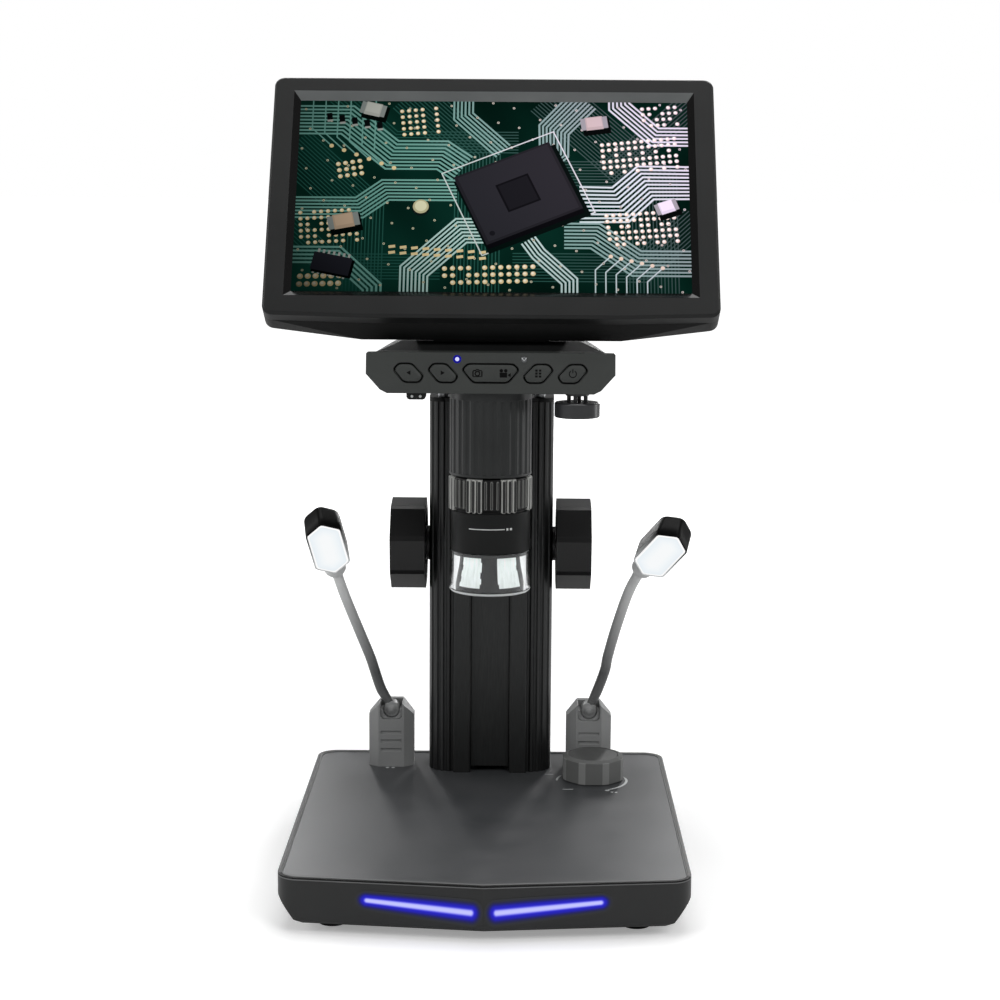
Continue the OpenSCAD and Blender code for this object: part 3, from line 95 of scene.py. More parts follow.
def grain(tree, place, size_mm, detail=2.0, stretch=(1, 1, 1)):
    """Noise whose lumps are size_mm across, drawn out along an axis where stretch is below 1."""
    scaled = node(tree, "Mapping", {"Vector": place, "Scale": stretch}).outputs["Vector"]
    return node(tree, "TexNoise", {"Vector": scaled, "Scale": 1 / (size_mm * MM), "Detail": detail}).outputs["Fac"]


def sheen(tree, place, size_mm, middle, spread):
    """A value that wanders by spread either side of its middle, over lumps of size_mm."""
    return node(tree, "MapRange", {"Value": grain(tree, place, size_mm), "To Min": middle - spread,
                                   "To Max": middle + spread}).outputs["Result"]


def mottled(tree, fac, dark, light):
    """A colour between two inks, chosen by a noise value, most of which lie between 0.3 and 0.7."""
    ramp = node(tree, "ValToRGB", {"Fac": fac})
    for element, position, code in zip(ramp.color_ramp.elements, (0.3, 0.7), (dark, light)):
        element.position, element.color = position, ink(code)
    return ramp.outputs["Color"]


def relief(tree, height, strength, depth_mm, edge_mm):
    """A normal with edges softened by edge_mm, and with bumps up to depth_mm where a noise is high."""
    soft = node(tree, "Bevel", {"Radius": edge_mm * MM}, samples=6).outputs["Normal"]
    return node(tree, "Bump", {"Height": height, "Strength": strength, "Distance": depth_mm * MM,
                               "Normal": soft}).outputs["Normal"]


def moulded(name, dark, light, roughness, spark_mm=0.35, spark=0.05, edge_mm=0.35, specular=0.5):
    """Moulded plastic with a spark-eroded skin: fine pits of spark_mm and a faint mottle 22 mm wide."""
    material, tree, place = blank(name)
    pits, wide = grain(tree, place, spark_mm, 3.0), grain(tree, place, 22)
    shine = node(tree, "MapRange", {"Value": wide, "To Min": roughness - 0.05, "To Max": roughness + 0.05})
    return surfaced(material, "BsdfPrincipled", {
        "Base Color": mottled(tree, wide, dark, light), "Roughness": shine.outputs["Result"],
        "Specular IOR Level": specular, "Normal": relief(tree, pits, spark, 0.2, edge_mm)})


def metal(name, dark, light, roughness, stretch=(1, 1, 1), metallic=1.0):
    """Machined or drawn metal: lines 0.12 mm apart, drawn out along one axis by stretch, in colour and height."""
    material, tree, place = blank(name)
    lines = grain(tree, place, 0.12, 2.0, stretch)
    return surfaced(material, "BsdfPrincipled", {
        "Base Color": mottled(tree, lines, dark, light), "Roughness": roughness, "Metallic": metallic,
        "Normal": relief(tree, lines, 0.04, 0.1, 0.25)})


def glowing(name, core, strength):
    """A lit diffuser that gives off one even colour."""
    material, tree, place = blank(name)
    level = sheen(tree, place, 3, strength, strength * 0.03)
    return surfaced(material, "Emission", {"Color": ink(core), "Strength": level})


def carried(tree):
    """The colour that each point of the mesh carries."""
    return node(tree, "Attribute", attribute_name="shade").outputs["Color"]


def shaded(name, roughness, specular):
    """Plastic in the colour that the mesh carries, with a fine mottle in its shine."""
    material, tree, place = blank(name)
    return surfaced(material, "BsdfPrincipled", {
        "Base Color": carried(tree), "Roughness": sheen(tree, place, 4, roughness, 0.05),
        "Specular IOR Level": specular})


def lit_display(name):
    """A surface that shows only its own light, in the colour that the mesh carries."""
    material, tree, _ = blank(name)
    return surfaced(material, "Emission", {"Color": carried(tree), "Strength": 1.0})


def clear(name, tint, roughness=0.02, ior=1.49, specular=0.5):
    """Clear acrylic or glass."""
    material, tree, place = blank(name)
    return surfaced(material, "BsdfPrincipled", {
        "Base Color": ink(tint), "Roughness": sheen(tree, place, 6, roughness, roughness * 0.4),
        "Transmission Weight": 1.0, "IOR": ior, "Specular IOR Level": specular})


def dress(names, material):
    """Gives the part's own nodes their one material, and hands it back."""
    for name in names.split():
        NODES[name].data.materials.clear()
        NODES[name].data.materials.append(material)
    return material


# Black ABS housings: spark-eroded, satin, a soft grey sheen along their edges
dress("screen_bezel", moulded("abs_bezel_black", "#131414", "#181919", roughness=0.5, specular=0.3))
abs_rear = dress("screen_rear_shell",
                 moulded("abs_rear_shell_black", "#040404", "#070808", roughness=0.5, specular=0.22))
dress("column_cap head_shell head_cover port_block",
      moulded("abs_head_black", "#1c1d1d", "#222323", roughness=0.55, specular=0.2))
dress("base_shell", moulded("abs_base_black", "#1d1e1e", "#232424", roughness=0.42, specular=0.4))
# The key panel is the lightest of the mouldings, a greenish charcoal
abs_panel = dress("control_panel", moulded("abs_key_panel", "#2f3230", "#363937", roughness=0.6, spark=0.08))
dress("focus_knob_left focus_knob_right", moulded("abs_knob", "#070708", "#0b0b0c", roughness=0.38, specular=0.42))
dress("thumb_wheel", moulded("abs_thumb_wheel", "#2b2c2e", "#343537", roughness=0.28, specular=0.6))
dress("barrel_tube lens_cell", moulded("abs_barrel", "#232525", "#2a2c2c", roughness=0.38, specular=0.35))
dress("lens_sleeve", moulded("abs_lens_sleeve", "#181919", "#1d1e1e", roughness=0.4, spark=0.03, specular=0.15))
# Grey ABS: mid grey plugs and knuckles, pale collars, and a matt dial that takes the lights without glare; the dial's
# narrow facets and rim are painted lighter as painted highlights, and its dish darker as painted shade
abs_plug = dress("plug_block_left plug_block_right", moulded("abs_lamp_plug", "#888989", "#929393", roughness=0.5))
knuckle_grey = moulded("abs_knuckle", "#8c8d8d", "#979898", roughness=0.4)
collar_grey = moulded("abs_lamp_collar", "#d2d3d3", "#dcdddd", roughness=0.5, specular=0.3)
abs_dial = moulded("abs_dial_grey", "#6d6e6d", "#767776", roughness=0.8, specular=0.08)
dial_top_painted_shade = moulded("dial_top_painted_shade", "#4b4c4b", "#535453", roughness=0.55)
dial_painted_highlight = moulded("abs_dial_painted_highlight", "#8b8c8b", "#949594", roughness=0.9, specular=0.05)
# Acetal: black and a little waxy
dress("shaft_bushes", moulded("acetal_black", "#0d0d0d", "#131313", roughness=0.4))
# Polished black frame round the display: mirror-like, so it shows the lights as streaks
gloss_black = moulded("piano_black_acrylic", "#060606", "#090909", roughness=0.12, spark=0.0, edge_mm=0.1)
dress("lcd_panel", moulded("display_glass_dark", "#040505", "#070808", roughness=0.15, spark=0.0))
# Lighter grey for the top of the window's sloping edge: a painted reflection
painted_reflection_grey = moulded("window_top_painted_reflection", "#646767", "#707373", roughness=0.25, spark=0.0, edge_mm=0.1)
# Rubber, and pale grey lines painted along the stage's front edges as painted highlights: dull, without glints
seal_grey = moulded("seal_rubber_grey", "#767777", "#808181", roughness=0.6, specular=0.3)
edge_painted_highlight = moulded("edge_painted_highlight_grey", "#6a6b6b", "#747575", roughness=0.6, specular=0.3)
dress("base_feet", moulded("rubber_foot", "#0c0c0c", "#121212", roughness=0.8))
# Powder coat has a fine orange peel that breaks the lights up into a broad glare
dress("stage_plate", moulded("powder_coat", "#3e4042", "#48494b", roughness=0.36, spark_mm=0.45, spark=0.22))
# Drawn and anodised extrusion: die lines run along the column, a cool black
dress("column rack_bar",
      metal("anodised_aluminium_black", "#2b2c2c", "#383939", roughness=0.36, stretch=(1, 1, 0.02), metallic=0.55))
# Ground steel and cut brass: bright, with fine lines that blur what they mirror
dress("base_screws cap_screws head_screws screen_screws power_socket usb_sockets lamp_plugs focus_shaft "
      "dimmer_shaft hinge_pin",
      metal("ground_steel", "#8c8e90", "#b4b6b8", roughness=0.3))
dress("drive_pinion", metal("cut_brass", "#8d7442", "#b0925a", roughness=0.35))
# Solder mask: smooth and half glossy; switch nylon is duller
dress("light_bar_boards base_board main_board screen_board image_sensor",
      moulded("solder_mask_green", "#0f3f22", "#15502c", roughness=0.35))
dress("led_ring", moulded("solder_mask_white", "#d8d8d4", "#ecece8", roughness=0.4))
dress("dimmer_pot key_switches", moulded("switch_nylon", "#4a4b4d", "#5a5b5d", roughness=0.5))
# Printed marks: matt ink, black on the keys, pale grey on the stage and the lens sleeve; the pale grey also paints
# glints on the unlit lamp and the port pins
key_ink = moulded("pad_print_black", "#020202", "#060606", roughness=0.85, spark=0.0, specular=0.15)
print_and_glint_ink = moulded("pad_print_and_painted_glint_grey", "#c4c7c7", "#d6d9d8", roughness=0.6, spark=0.0)
# Lamps: even light with a faint haze, and an unlit clear one
# A white glow for the film inside the clear cap: painted light, not a lamp
white_painted_glow = glowing("cap_film_painted_glow", "#ffffff", 1.0)
blue_led = glowing("led_blue_lit", "#d2d2ff", 1.1)
blue_spill = glowing("blue_spill", "#17178c", 1.0)
clear_led = moulded("led_clear_epoxy", "#57595b", "#6a6c6e", roughness=0.1, spark=0.0)
lit_plastic = lit_display("polycarbonate_diffuser_white")
# Clear acrylic and coated glass: see-through, white where the acrylic is ground
dress("clear_cap", clear("clear_acrylic", "#f4f7f8", specular=0.2))
frosted = moulded("acrylic_ground_edge", "#dfe3e3", "#f2f5f5", roughness=0.5, spark=0.0)
dress("objective_lens", clear("coated_lens_glass", "#2c3f66", roughness=0.01, ior=1.52))


# ---------- places that several pieces share, in millimetres ----------

PANEL_LEAN = math.radians(15.35)
PANEL_FOOT = (14.0, 181.0)          # Y and Z of the key panel's lower edge
KEY_ROW = 7.93                      # height of the keys' middle up the panel
KEY_FACE = 0.4                      # the keys stand this far out of it
SCREEN_LEAN = math.radians(31.1)
HINGE = (37.0, 204.0)               # Y and Z of the screen's hinge
PICTURE_W, PICTURE_H = 154.1, 85.9
PICTURE_LOW = 6.7                   # the picture's lower edge above the hinge
FACE = 19.7                         # the bezel's face in front of the hinge
PICTURE = FACE - 1.8                # the display's surface
LAYER = 0.03                        # step between the layers of the picture
BARREL_Y = 32.0
STAGE = 20.0
TIP = -86.0                         # Y of the base's front tip
BASE_HALF, BASE_BACK, BASE_CORNER = 72.9, 86.0, 8.0     # its half width, Y of its back, radius of its corners
FACET_SLOPE = 8 / BASE_HALF
FACET = math.atan(FACET_SLOPE)      # turn of each front facet
DIAL = (42.4, 49.0)                 # the dimmer dial's axis


def on_panel(x, up, out):
    """Points on the leaning key panel: up runs along its face, out away from it."""
    s, c = math.sin(PANEL_LEAN), math.cos(PANEL_LEAN)
    return stack(x, PANEL_FOOT[0] + up * s - out * c, PANEL_FOOT[1] + up * c + out * s)


def on_screen(x, up, out):
    """Points in the screen's own frame, whose X axis is the hinge: up runs along its face, out away from it."""
    s, c = math.sin(SCREEN_LEAN), math.cos(SCREEN_LEAN)
    return stack(x, HINGE[0] + up * s - out * c, HINGE[1] + up * c + out * s)


def on_stage(x, y, out):
    """Points on the stage plate, out above it."""
    return stack(x, y, STAGE + out)


def on_barrel(radius, angle, z):
    """Points round the barrel's axis."""
    return stack(radius * np.cos(angle), BARREL_Y + radius * np.sin(angle), z)


def stack(x, y, z):
    """Three arrays or numbers as one array of points."""
    return np.stack(np.broadcast_arrays(np.asarray(x, float), y, z), axis=-1)


def circle(steps):
    """Angles of even steps once round."""
    return np.linspace(0, 2 * math.pi, steps, endpoint=False)


def polar(angle, radius):
    """Points in a plane at angles and radii."""
    return np.column_stack([radius * np.cos(angle), radius * np.sin(angle)])


# ---------- mesh makers ----------

def build(name, points, faces, material, body, smooth=True, shade=None):
    """One piece from points in mm and faces of point numbers. shade is a colour per point."""
    mesh = bpy.data.meshes.new(name)
    rows = faces.tolist() if isinstance(faces, np.ndarray) else [list(map(int, face)) for face in faces]
    mesh.from_pydata((np.asarray(points).reshape(-1, 3) * MM).tolist(), [], rows)
    mesh.polygons.foreach_set("use_smooth", np.full(len(mesh.polygons), smooth))
    if shade is not None:
        layer = mesh.color_attributes.new("shade", "FLOAT_COLOR", "POINT")
        layer.data.foreach_set("color", np.asarray(shade, np.float32).ravel())
    mesh.update()
    piece = bpy.data.objects.new(name, mesh)
    scene.collection.objects.link(piece)
    mesh.materials.append(material)
    if body:
        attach(piece, body)
    return piece


def repaint(piece, finishes, index):
    """Gives a piece further materials, and every face the number of the one it has."""
    for finish in finishes:
        piece.data.materials.append(finish)
    piece.data.polygons.foreach_set("material_index", np.asarray(index, np.int32))


def grid_faces(rows, columns, wrap=False, count=1):
    """Quads of count grids of rows by columns points; wrap joins the last column to the first."""
    i = np.arange(count * rows * columns).reshape(count, rows, columns)
    if wrap:
        i = np.concatenate([i, i[:, :, :1]], axis=2)
    return np.stack([i[:, :-1, :-1], i[:, :-1, 1:], i[:, 1:, 1:], i[:, 1:, :-1]], axis=-1).reshape(-1, 4)


def turned(name, profile, axis_at, axis, material, body, steps):
    """A lathe form: the profile's radius and height, carried once round an axis through axis_at."""
    radius, height = np.asarray(profile, float).T
    along = np.asarray(axis, float) / np.linalg.norm(axis)
    side = np.cross(along, [0, 0, 1] if abs(along[2]) < 0.9 else [0, 1, 0])
    side /= np.linalg.norm(side)
    third = np.cross(along, side)
    angle = circle(steps)[:, None]
    ring = np.cos(angle) * side + np.sin(angle) * third
    points = np.asarray(axis_at) + height[:, None, None] * along + radius[:, None, None] * ring
    return build(name, points, grid_faces(len(radius), steps, wrap=True), material, body)


def inset(corners, gap):
    """A convex outline with every side moved in by gap: with n and m the normals of its two sides, a corner moves by
    gap times (n + m) / (1 + n.m)."""
    c = np.asarray(corners, float)
    run = np.roll(c, -1, axis=0) - c
    run /= np.linalg.norm(run, axis=1)[:, None]
    area = (c[:, 0] * np.roll(c[:, 1], -1) - c[:, 1] * np.roll(c[:, 0], -1)).sum()
    normal = np.column_stack([-run[:, 1], run[:, 0]]) * np.sign(area)
    before = np.roll(normal, 1, axis=0)
    return c + gap * (normal + before) / (1 + (normal * before).sum(axis=1))[:, None]


def rounded(corners, radius, count=7):
    """An outline whose corners become curves of count points: (1 - t)^2 a + 2 t (1 - t) corner + t^2 b between
    points a and b on its sides."""
    c = np.asarray(corners, float)
    back, on = np.roll(c, 1, axis=0) - c, np.roll(c, -1, axis=0) - c
    far_back, far_on = np.linalg.norm(back, axis=1)[:, None], np.linalg.norm(on, axis=1)[:, None]
    reach = np.minimum(radius, 0.45 * np.minimum(far_back, far_on))
    a, b = c + back / far_back * reach, c + on / far_on * reach
    t = np.linspace(0, 1, count)[None, :, None]
    return ((1 - t) ** 2 * a[:, None] + 2 * t * (1 - t) * c[:, None] + t * t * b[:, None]).reshape(-1, 2)


def loft(name, rings, place, material, body, smooth=True, shade=None):
    """A closed form: outlines of equal point counts at their own heights, with a pole at each end."""
    n = len(rings[0][0])
    flat = [np.column_stack([np.asarray(ring, float), np.full(n, height)]) for ring, height in rings]
    points = np.concatenate(flat + [flat[0].mean(axis=0)[None], flat[-1].mean(axis=0)[None]])
    a = np.arange(n)
    b = (a + 1) % n
    last = (len(rings) - 1) * n
    foot, top = len(points) - 2, len(points) - 1
    faces = (grid_faces(len(rings), n, wrap=True).tolist() + np.column_stack([b, a, np.full(n, foot)]).tolist()
             + np.column_stack([a + last, b + last, np.full(n, top)]).tolist())
    if shade is not None:
        shade = np.concatenate([shade, shade[:n].mean(axis=0)[None], shade[-n:].mean(axis=0)[None]])
    piece = build(name, place(*points.T), faces, material, body, smooth, shade)
    shell = bmesh.new()
    shell.from_mesh(piece.data)
    bmesh.ops.recalc_face_normals(shell, faces=shell.faces)
    shell.to_mesh(piece.data)
    shell.free()
    return piece


def smooth_path(knots, count):
    """A curve through every knot, in cubics whose slope at a knot is half the step between its neighbours."""
    k = np.asarray(knots, float)
    slope = np.gradient(k, axis=0)
    t = np.linspace(0, len(k) - 1, count)
    i = np.minimum(t.astype(int), len(k) - 2)
    f = (t - i)[:, None]
    return ((2 * f ** 3 - 3 * f ** 2 + 1) * k[i] + (f ** 3 - 2 * f ** 2 + f) * slope[i]
            + (3 * f ** 2 - 2 * f ** 3) * k[i + 1] + (f ** 3 - f ** 2) * slope[i + 1])


def tube(path, radius):
    """Points and faces of a tube round a path: a ring of each radius across it, and a pole that closes each end."""
    sides = 28
    run = np.gradient(path, axis=0)
    run /= np.linalg.norm(run, axis=1)[:, None]
    side = np.cross(run, [0, 1, 0])
    side /= np.linalg.norm(side, axis=1)[:, None]
    third = np.cross(run, side)
    angle = circle(sides)[None, :, None]
    ring = np.cos(angle) * side[:, None] + np.sin(angle) * third[:, None]
    points = (path[:, None] + np.asarray(radius)[:, None, None] * ring).reshape(-1, 3)
    last = (len(path) - 1) * sides
    around = np.arange(sides)
    after = (around + 1) % sides
    first_pole, last_pole = len(points), len(points) + 1
    caps = ([[first_pole, b, a] for a, b in zip(around, after)]
            + [[last_pole, last + a, last + b] for a, b in zip(around, after)])
    faces = grid_faces(len(path), sides, wrap=True).tolist() + caps
    return np.concatenate([points, path[:1], path[-1:]]), faces


# ---------- display picture ----------

def mitres(path):
    """The lengths of a bent path's steps, and at every point the way across it that keeps both its sides parallel."""
    step = np.diff(path, axis=0)
    length = np.linalg.norm(step, axis=1)
    way = step / length[:, None]
    left = np.column_stack([-way[:, 1], way[:, 0]])
    joint = np.vstack([left[:1], left[:-1] + left[1:], left[-1:]])
    return length, joint / (joint * np.vstack([left[:1], left])).sum(axis=1)[:, None]


def lit(code, xy, strength=1.0):
    """An ink under the picture's own light: cool and dim at the left, violet and bright at the upper right."""
    x, y = xy[:, 0] / PICTURE_W, xy[:, 1] / PICTURE_H
    base = np.array(ink(code))[:3]
    violet = np.clip(x + 0.35 * y + 0.12, 0, 0.7)[:, None]
    level = (1.0 + 0.8 * x + 0.3 * y - 0.9 * (x * x + y * y))[:, None] * strength
    tint = base * (1 - violet) + violet * np.array([1.25, 0.95, 1.3]) * base.mean() * 1.1
    return np.column_stack([np.clip(tint * level, 0, 1), np.ones(len(xy))])


def turn2(points, degrees, centre):
    """Points turned in the picture's plane and moved to a centre."""
    c, s = math.cos(math.radians(degrees)), math.sin(math.radians(degrees))
    return np.asarray(points, float) @ np.array([[c, s], [-s, c]]) + np.asarray(centre)


def box2(x, y, w, h):
    """A rectangle round a point."""
    return np.array([[x - w / 2, y - h / 2], [x + w / 2, y - h / 2], [x + w / 2, y + h / 2], [x - w / 2, y + h / 2]])


class Picture:
    """Flat shapes on the display, in mm from the middle of the picture, layered by small steps towards the viewer."""

    edge = np.array([PICTURE_W, PICTURE_H]) / 2

    def __init__(self):
        self.points, self.faces, self.inks, self.count = [], [], [], 0

    def add(self, xy, faces, layer, shade):
        """Adds points, clipped to the picture's edges, with a colour each; quads that fall outside vanish."""
        inside = np.clip(xy, -self.edge, self.edge)
        corner = inside[faces]
        span = corner.max(axis=1) - corner.min(axis=1)
        self.points.append(np.column_stack([inside, np.full(len(xy), LAYER * layer)]))
        self.faces.append(faces[(span > 1e-4).all(axis=1)] + self.count)
        self.inks.append(shade)
        self.count += len(xy)

    def trace(self, path, width, code, layer):
        """A ribbon of one width along a bent path, in steps of about half a millimetre, its corners mitred."""
        path = np.asarray(path, float)
        length, joint = mitres(path)
        parts = [np.linspace(0, 1, max(2, int(l / 0.5)), endpoint=False) + i for i, l in enumerate(length)]
        t = np.concatenate(parts + [[len(length) - 1e-9]])
        i = t.astype(int)
        f = (t - i)[:, None]
        middle = path[i] * (1 - f) + path[i + 1] * f
        across = (joint[i] * (1 - f) + joint[i + 1] * f) * width / 2
        xy = np.concatenate([middle - across, middle + across])
        n = len(middle)
        a = np.arange(n - 1)
        self.add(xy, np.column_stack([a, a + 1, a + 1 + n, a + n]), layer, lit(code, xy))

    def bundle(self, path, count, pitch, width, code, layer, fan=0.0):
        """Parallel traces: each bend is shifted along its own mitre, and fan spreads the far ends."""
        path = np.asarray(path, float)
        joint = mitres(path)[1]
        spread = np.linspace(1, 1 + fan, len(path))[:, None]
        for k in range(count):
            shift = (k - (count - 1) / 2) * pitch
            self.trace(path + joint * shift * spread, width, code, layer)

    def discs(self, centres, radius, code, layer, sides=12):
        """Round pads: a fan of quads round each centre, every pad with its own points."""
        centres = np.asarray(centres, float).reshape(-1, 2)
        xy = (centres[:, None] + polar(circle(sides), radius)).reshape(-1, 2)
        keep = (np.abs(centres) < self.edge - radius).all(axis=1)
        fan = np.array([[0, j, j + 1, j + 2] for j in range(1, sides - 2, 2)])
        faces = (np.arange(len(centres))[:, None, None] * sides + fan).reshape(-1, 4)
        self.add(xy, faces[np.repeat(keep, len(fan))], layer, lit(code, xy, 1.05))

    def field(self, corner, right, up, columns, rows, radius, code, layer, skip):
        """A lattice of round pads; every so many-th place stays bare, unless skip is 0."""
        i, j = (a.ravel() for a in np.meshgrid(np.arange(columns), np.arange(rows)))
        if skip:
            keep = (i * 3 + j * 5) % skip != 0
            i, j = i[keep], j[keep]
        centres = np.asarray(corner) + i[:, None] * np.asarray(right) + j[:, None] * np.asarray(up)
        self.discs(centres, radius, code, layer)
        self.discs(centres - np.array([0.12, -0.12]) * radius / 0.6, radius * 0.55, "#f6ecd2", layer + 1)

    def plate(self, corners, code, layer, strength=1.0):
        """A four-cornered patch in steps, so that the picture's light can run across it."""
        a, b, c, d = np.asarray(corners, float)
        steps = 14
        u, v = (t.ravel()[:, None] for t in np.meshgrid(*[np.linspace(0, 1, steps)] * 2))
        xy = a * (1 - u) * (1 - v) + b * u * (1 - v) + c * u * v + d * (1 - u) * v
        self.add(xy, grid_faces(steps, steps), layer, lit(code, xy, strength))


def circuit_picture():
    """A magnified circuit board of the scene's own layout: a large chip, trace bundles, pad fields and small parts."""
    p = Picture()
    w, h = p.edge
    columns, rows = 81, 47
    xy = np.column_stack([a.ravel() for a in np.meshgrid(np.linspace(-w, w, columns), np.linspace(-h, h, rows))])
    x, y = xy.T
    wave = 0.85 + 0.25 * np.sin(x / 19 + 1.0) * np.cos(y / 13 + 0.4) + 0.12 * np.sin(x / 5 + y / 7)
    vignette = 1 - 0.45 * ((xy / [w, h]) ** 4).max(axis=1)
    ground = np.array(ink("#072921"))[None, :3] * wave[:, None] * vignette[:, None]
    p.add(xy, grid_faces(rows, columns), 0, np.column_stack([ground, np.ones(len(xy))]))

    teal, pale, gold, deep = "#72a89c", "#b4d4cd", "#e6cf9c", "#24564c"
    # a dim lower layer of tracks between the bright ones
    for path, count in (([(-80, 22), (-52, -6), (-52, -46)], 15), ([(-34, 46), (-6, 18), (-6, -46)], 14),
                        ([(22, 46), (62, 6), (62, -46)], 16), ([(-80, -14), (-62, -32), (-20, -32)], 9),
                        ([(-62, 46), (-40, 24), (10, 24)], 8), ([(80, 44), (46, 10), (20, 10)], 9),
                        ([(80, -10), (58, -32), (8, -32)], 10)):
        p.bundle(path, count, 1.35, 0.42, deep, 1)
    # bundles that leave the chip and cross the board
    for path, count, pitch, width, code, fan in (
            ([(36, 44), (24, 30), (24, 20), (6, 4)], 9, 1.5, 0.78, teal, -0.1),
            ([(80, 6), (60, 6), (50, -4), (34, -4)], 10, 1.6, 0.82, pale, 0.1),
            ([(78, -30), (56, -30), (40, -18), (28, -18)], 8, 1.55, 0.78, teal, 0),
            ([(-80, 34), (-58, 34), (-40, 18), (-20, 18), (-12, 12)], 9, 1.6, 0.78, teal, 0),
            ([(-80, -6), (-52, -6), (-42, 2), (-14, 2)], 7, 1.5, 0.76, teal, 0),
            ([(-30, -46), (-30, -34), (-12, -16), (2, -16)], 8, 1.5, 0.74, pale, 0),
            ([(30, -46), (30, -38), (18, -26), (14, -20)], 5, 1.5, 0.74, pale, 0),
            ([(-12, 46), (-12, 36), (-2, 26), (4, 20)], 6, 1.5, 0.74, teal, 0),
            ([(-79, -27), (-60, -27), (-46, -41), (-46, -46)], 5, 1.7, 0.85, teal, 0),
            ([(78, 27), (64, 27), (50, 41), (50, 46)], 6, 1.6, 0.8, pale, 0)):
        p.bundle(path, count, pitch, width, code, 2, fan)
    for k in range(6):
        left, right = 5 * k - 72, 60 - 4 * k
        for path, code, radius in (([(left, 44), (left, 30 - 2 * k), (left + 8, 22 - 2 * k)], teal, 0.9),
                                   ([(right, -44), (right, -38 + k), (right + 6, -32 + k)], pale, 0.85)):
            p.trace(path, 0.5, code, 3)
            p.discs(path[-1:], radius, gold, 4)

    # pad fields and rows of soldered vias
    for corner, right, up, columns, rows, radius, skip in (
            ((-74, -22), (2.7, 0.2), (-0.2, 2.7), 9, 6, 0.82, 7), ((-38, 27), (2.7, 0.3), (-0.3, 2.7), 7, 5, 0.82, 5),
            ((44, 10), (2.6, 0.3), (-0.2, 2.6), 12, 6, 0.86, 6), ((46, -22), (2.6, 0.2), (-0.3, 2.6), 11, 6, 0.86, 9),
            ((-18, -39), (3.1, 0.1), (-0.1, 3.1), 12, 3, 1.0, 11), ((-74, -40), (3.0, 0.1), (0.2, 3.4), 6, 2, 1.2, 0),
            ((60, 32), (2.6, 0.2), (-0.3, 2.6), 6, 4, 0.84, 4), ((-60, 8), (2.8, 0.5), (-0.5, 2.8), 4, 3, 0.95, 0)):
        p.field(corner, right, up, columns, rows, radius, gold, 4, skip)
    slant = 8
    for k in range(9):
        spot = turn2([(0, 0), (2.6, 0), (2.6, 1.2), (0, 1.2)], slant, (-40 + 4.4 * k, -24 - 0.3 * k))
        p.plate(spot, gold, 4)
        p.plate(spot + [0, -2.6], gold, 4)

    # a small package with two rows of feet, and a scatter of vias
    for k in range(7):
        for side in (-1, 1):
            p.plate(turn2(box2(-6 + 2 * k, side * 4.6, 0.9, 1.8), -12, (-62, -31)), "#b9bdb6", 5)
    package = box2(0, 0, 15.2, 7.8)
    p.plate(turn2(package * 1.04, -12, (-61.4, -32)), "#030807", 6)
    p.plate(turn2(package, -12, (-62, -31)), "#23242b", 7, 1.2)
    i, j = np.meshgrid(np.arange(19), np.arange(10))
    via = np.column_stack([(i * 8.3 + j * 2.9 % 5 - 76).ravel(), (j * 9.1 + i * 3.7 % 6 - 43).ravel()])
    p.discs(via, 0.5, "#c9c6a8", 3)
    p.discs(via, 0.22, "#08201a", 4)

    # the chip: the frame printed round it, its shadow, its side, its top and a mark
    tilt, centre = 24, np.array([10.0, 1.0])
    frame_line = box2(0, 0, 48, 40)
    p.trace(turn2(np.vstack([frame_line, frame_line[:1]]), tilt, centre), 0.5, "#c9d3cf", 5)
    for layer, (scale, shift, code, strength) in enumerate((
            (1.06, (1.6, -2.6), "#04110e", 1), (1, (0.6, -1.9), "#0a0a0e", 1), (1, (0, 0), "#232328", 0.9),
            (0.94, (0, 0.1), "#2b2b31", 0.9), ((0.34, 0.4), (0, 0), "#121216", 0.9),
            ((0.3, 0.35), (0, 0), "#1c1c21", 0.9)), 6):
        p.plate(turn2(box2(0, 0, 41, 33) * scale, tilt, centre + shift), code, layer, strength)
    p.discs(turn2([(-16.5, -12.6)], tilt, centre), 1.1, "#17171c", 10, sides=20)

    # small parts: a tan capacitor, two silver ones, a can and dark resistors
    for at, size, face, angle in (((-58, -12), (11, 6.5), "#b79f86", 12), ((-48, 39), (9, 6), "#aeb0a8", -14),
                                  ((68, -5), (8, 5.4), "#c2bfca", 20), ((40, 33), (9.5, 6), "#b49c88", 8)):
        for layer, (scale, shift, code, strength) in enumerate((
                ((1.15, 1.2), (0.9, -1.6), "#040b09", 1), ((1.12, 0.9), (0, 0), "#8f9692", 1),
                ((0.72, 1.0), (0, 0), face, 1.1), ((0.62, 0.7), (0, 0.5), face, 1.3)), 6):
            p.plate(turn2(box2(0, 0, *size) * scale, angle, np.add(at, shift)), code, layer, strength)
    for y, radius, code, layer in ((-6, 3.6, "#0c1a18", 6), (-5.4, 3.1, "#b9b48f", 7), (-5.2, 2.3, "#dcd9b6", 8)):
        p.discs([(-28, y)], radius, code, layer, sides=32)
    for k in range(5):
        for tall, code, layer in ((4, "#0b0f10", 6), (0.9, "#a9aca6", 7)):
            p.plate(turn2([(0, 0), (2.2, 0), (2.2, tall), (0, tall)], slant, (-66 + 5 * k, 33 - k)), code, layer)

    points = np.concatenate(p.points)
    placed = on_screen(points[:, 0], PICTURE_LOW + h + points[:, 1], PICTURE + 0.05 + points[:, 2])
    build("display_picture", placed, np.concatenate(p.faces), lit_display("lcd_lit_picture"), "screen",
          smooth=False, shade=np.concatenate(p.inks))


circuit_picture()


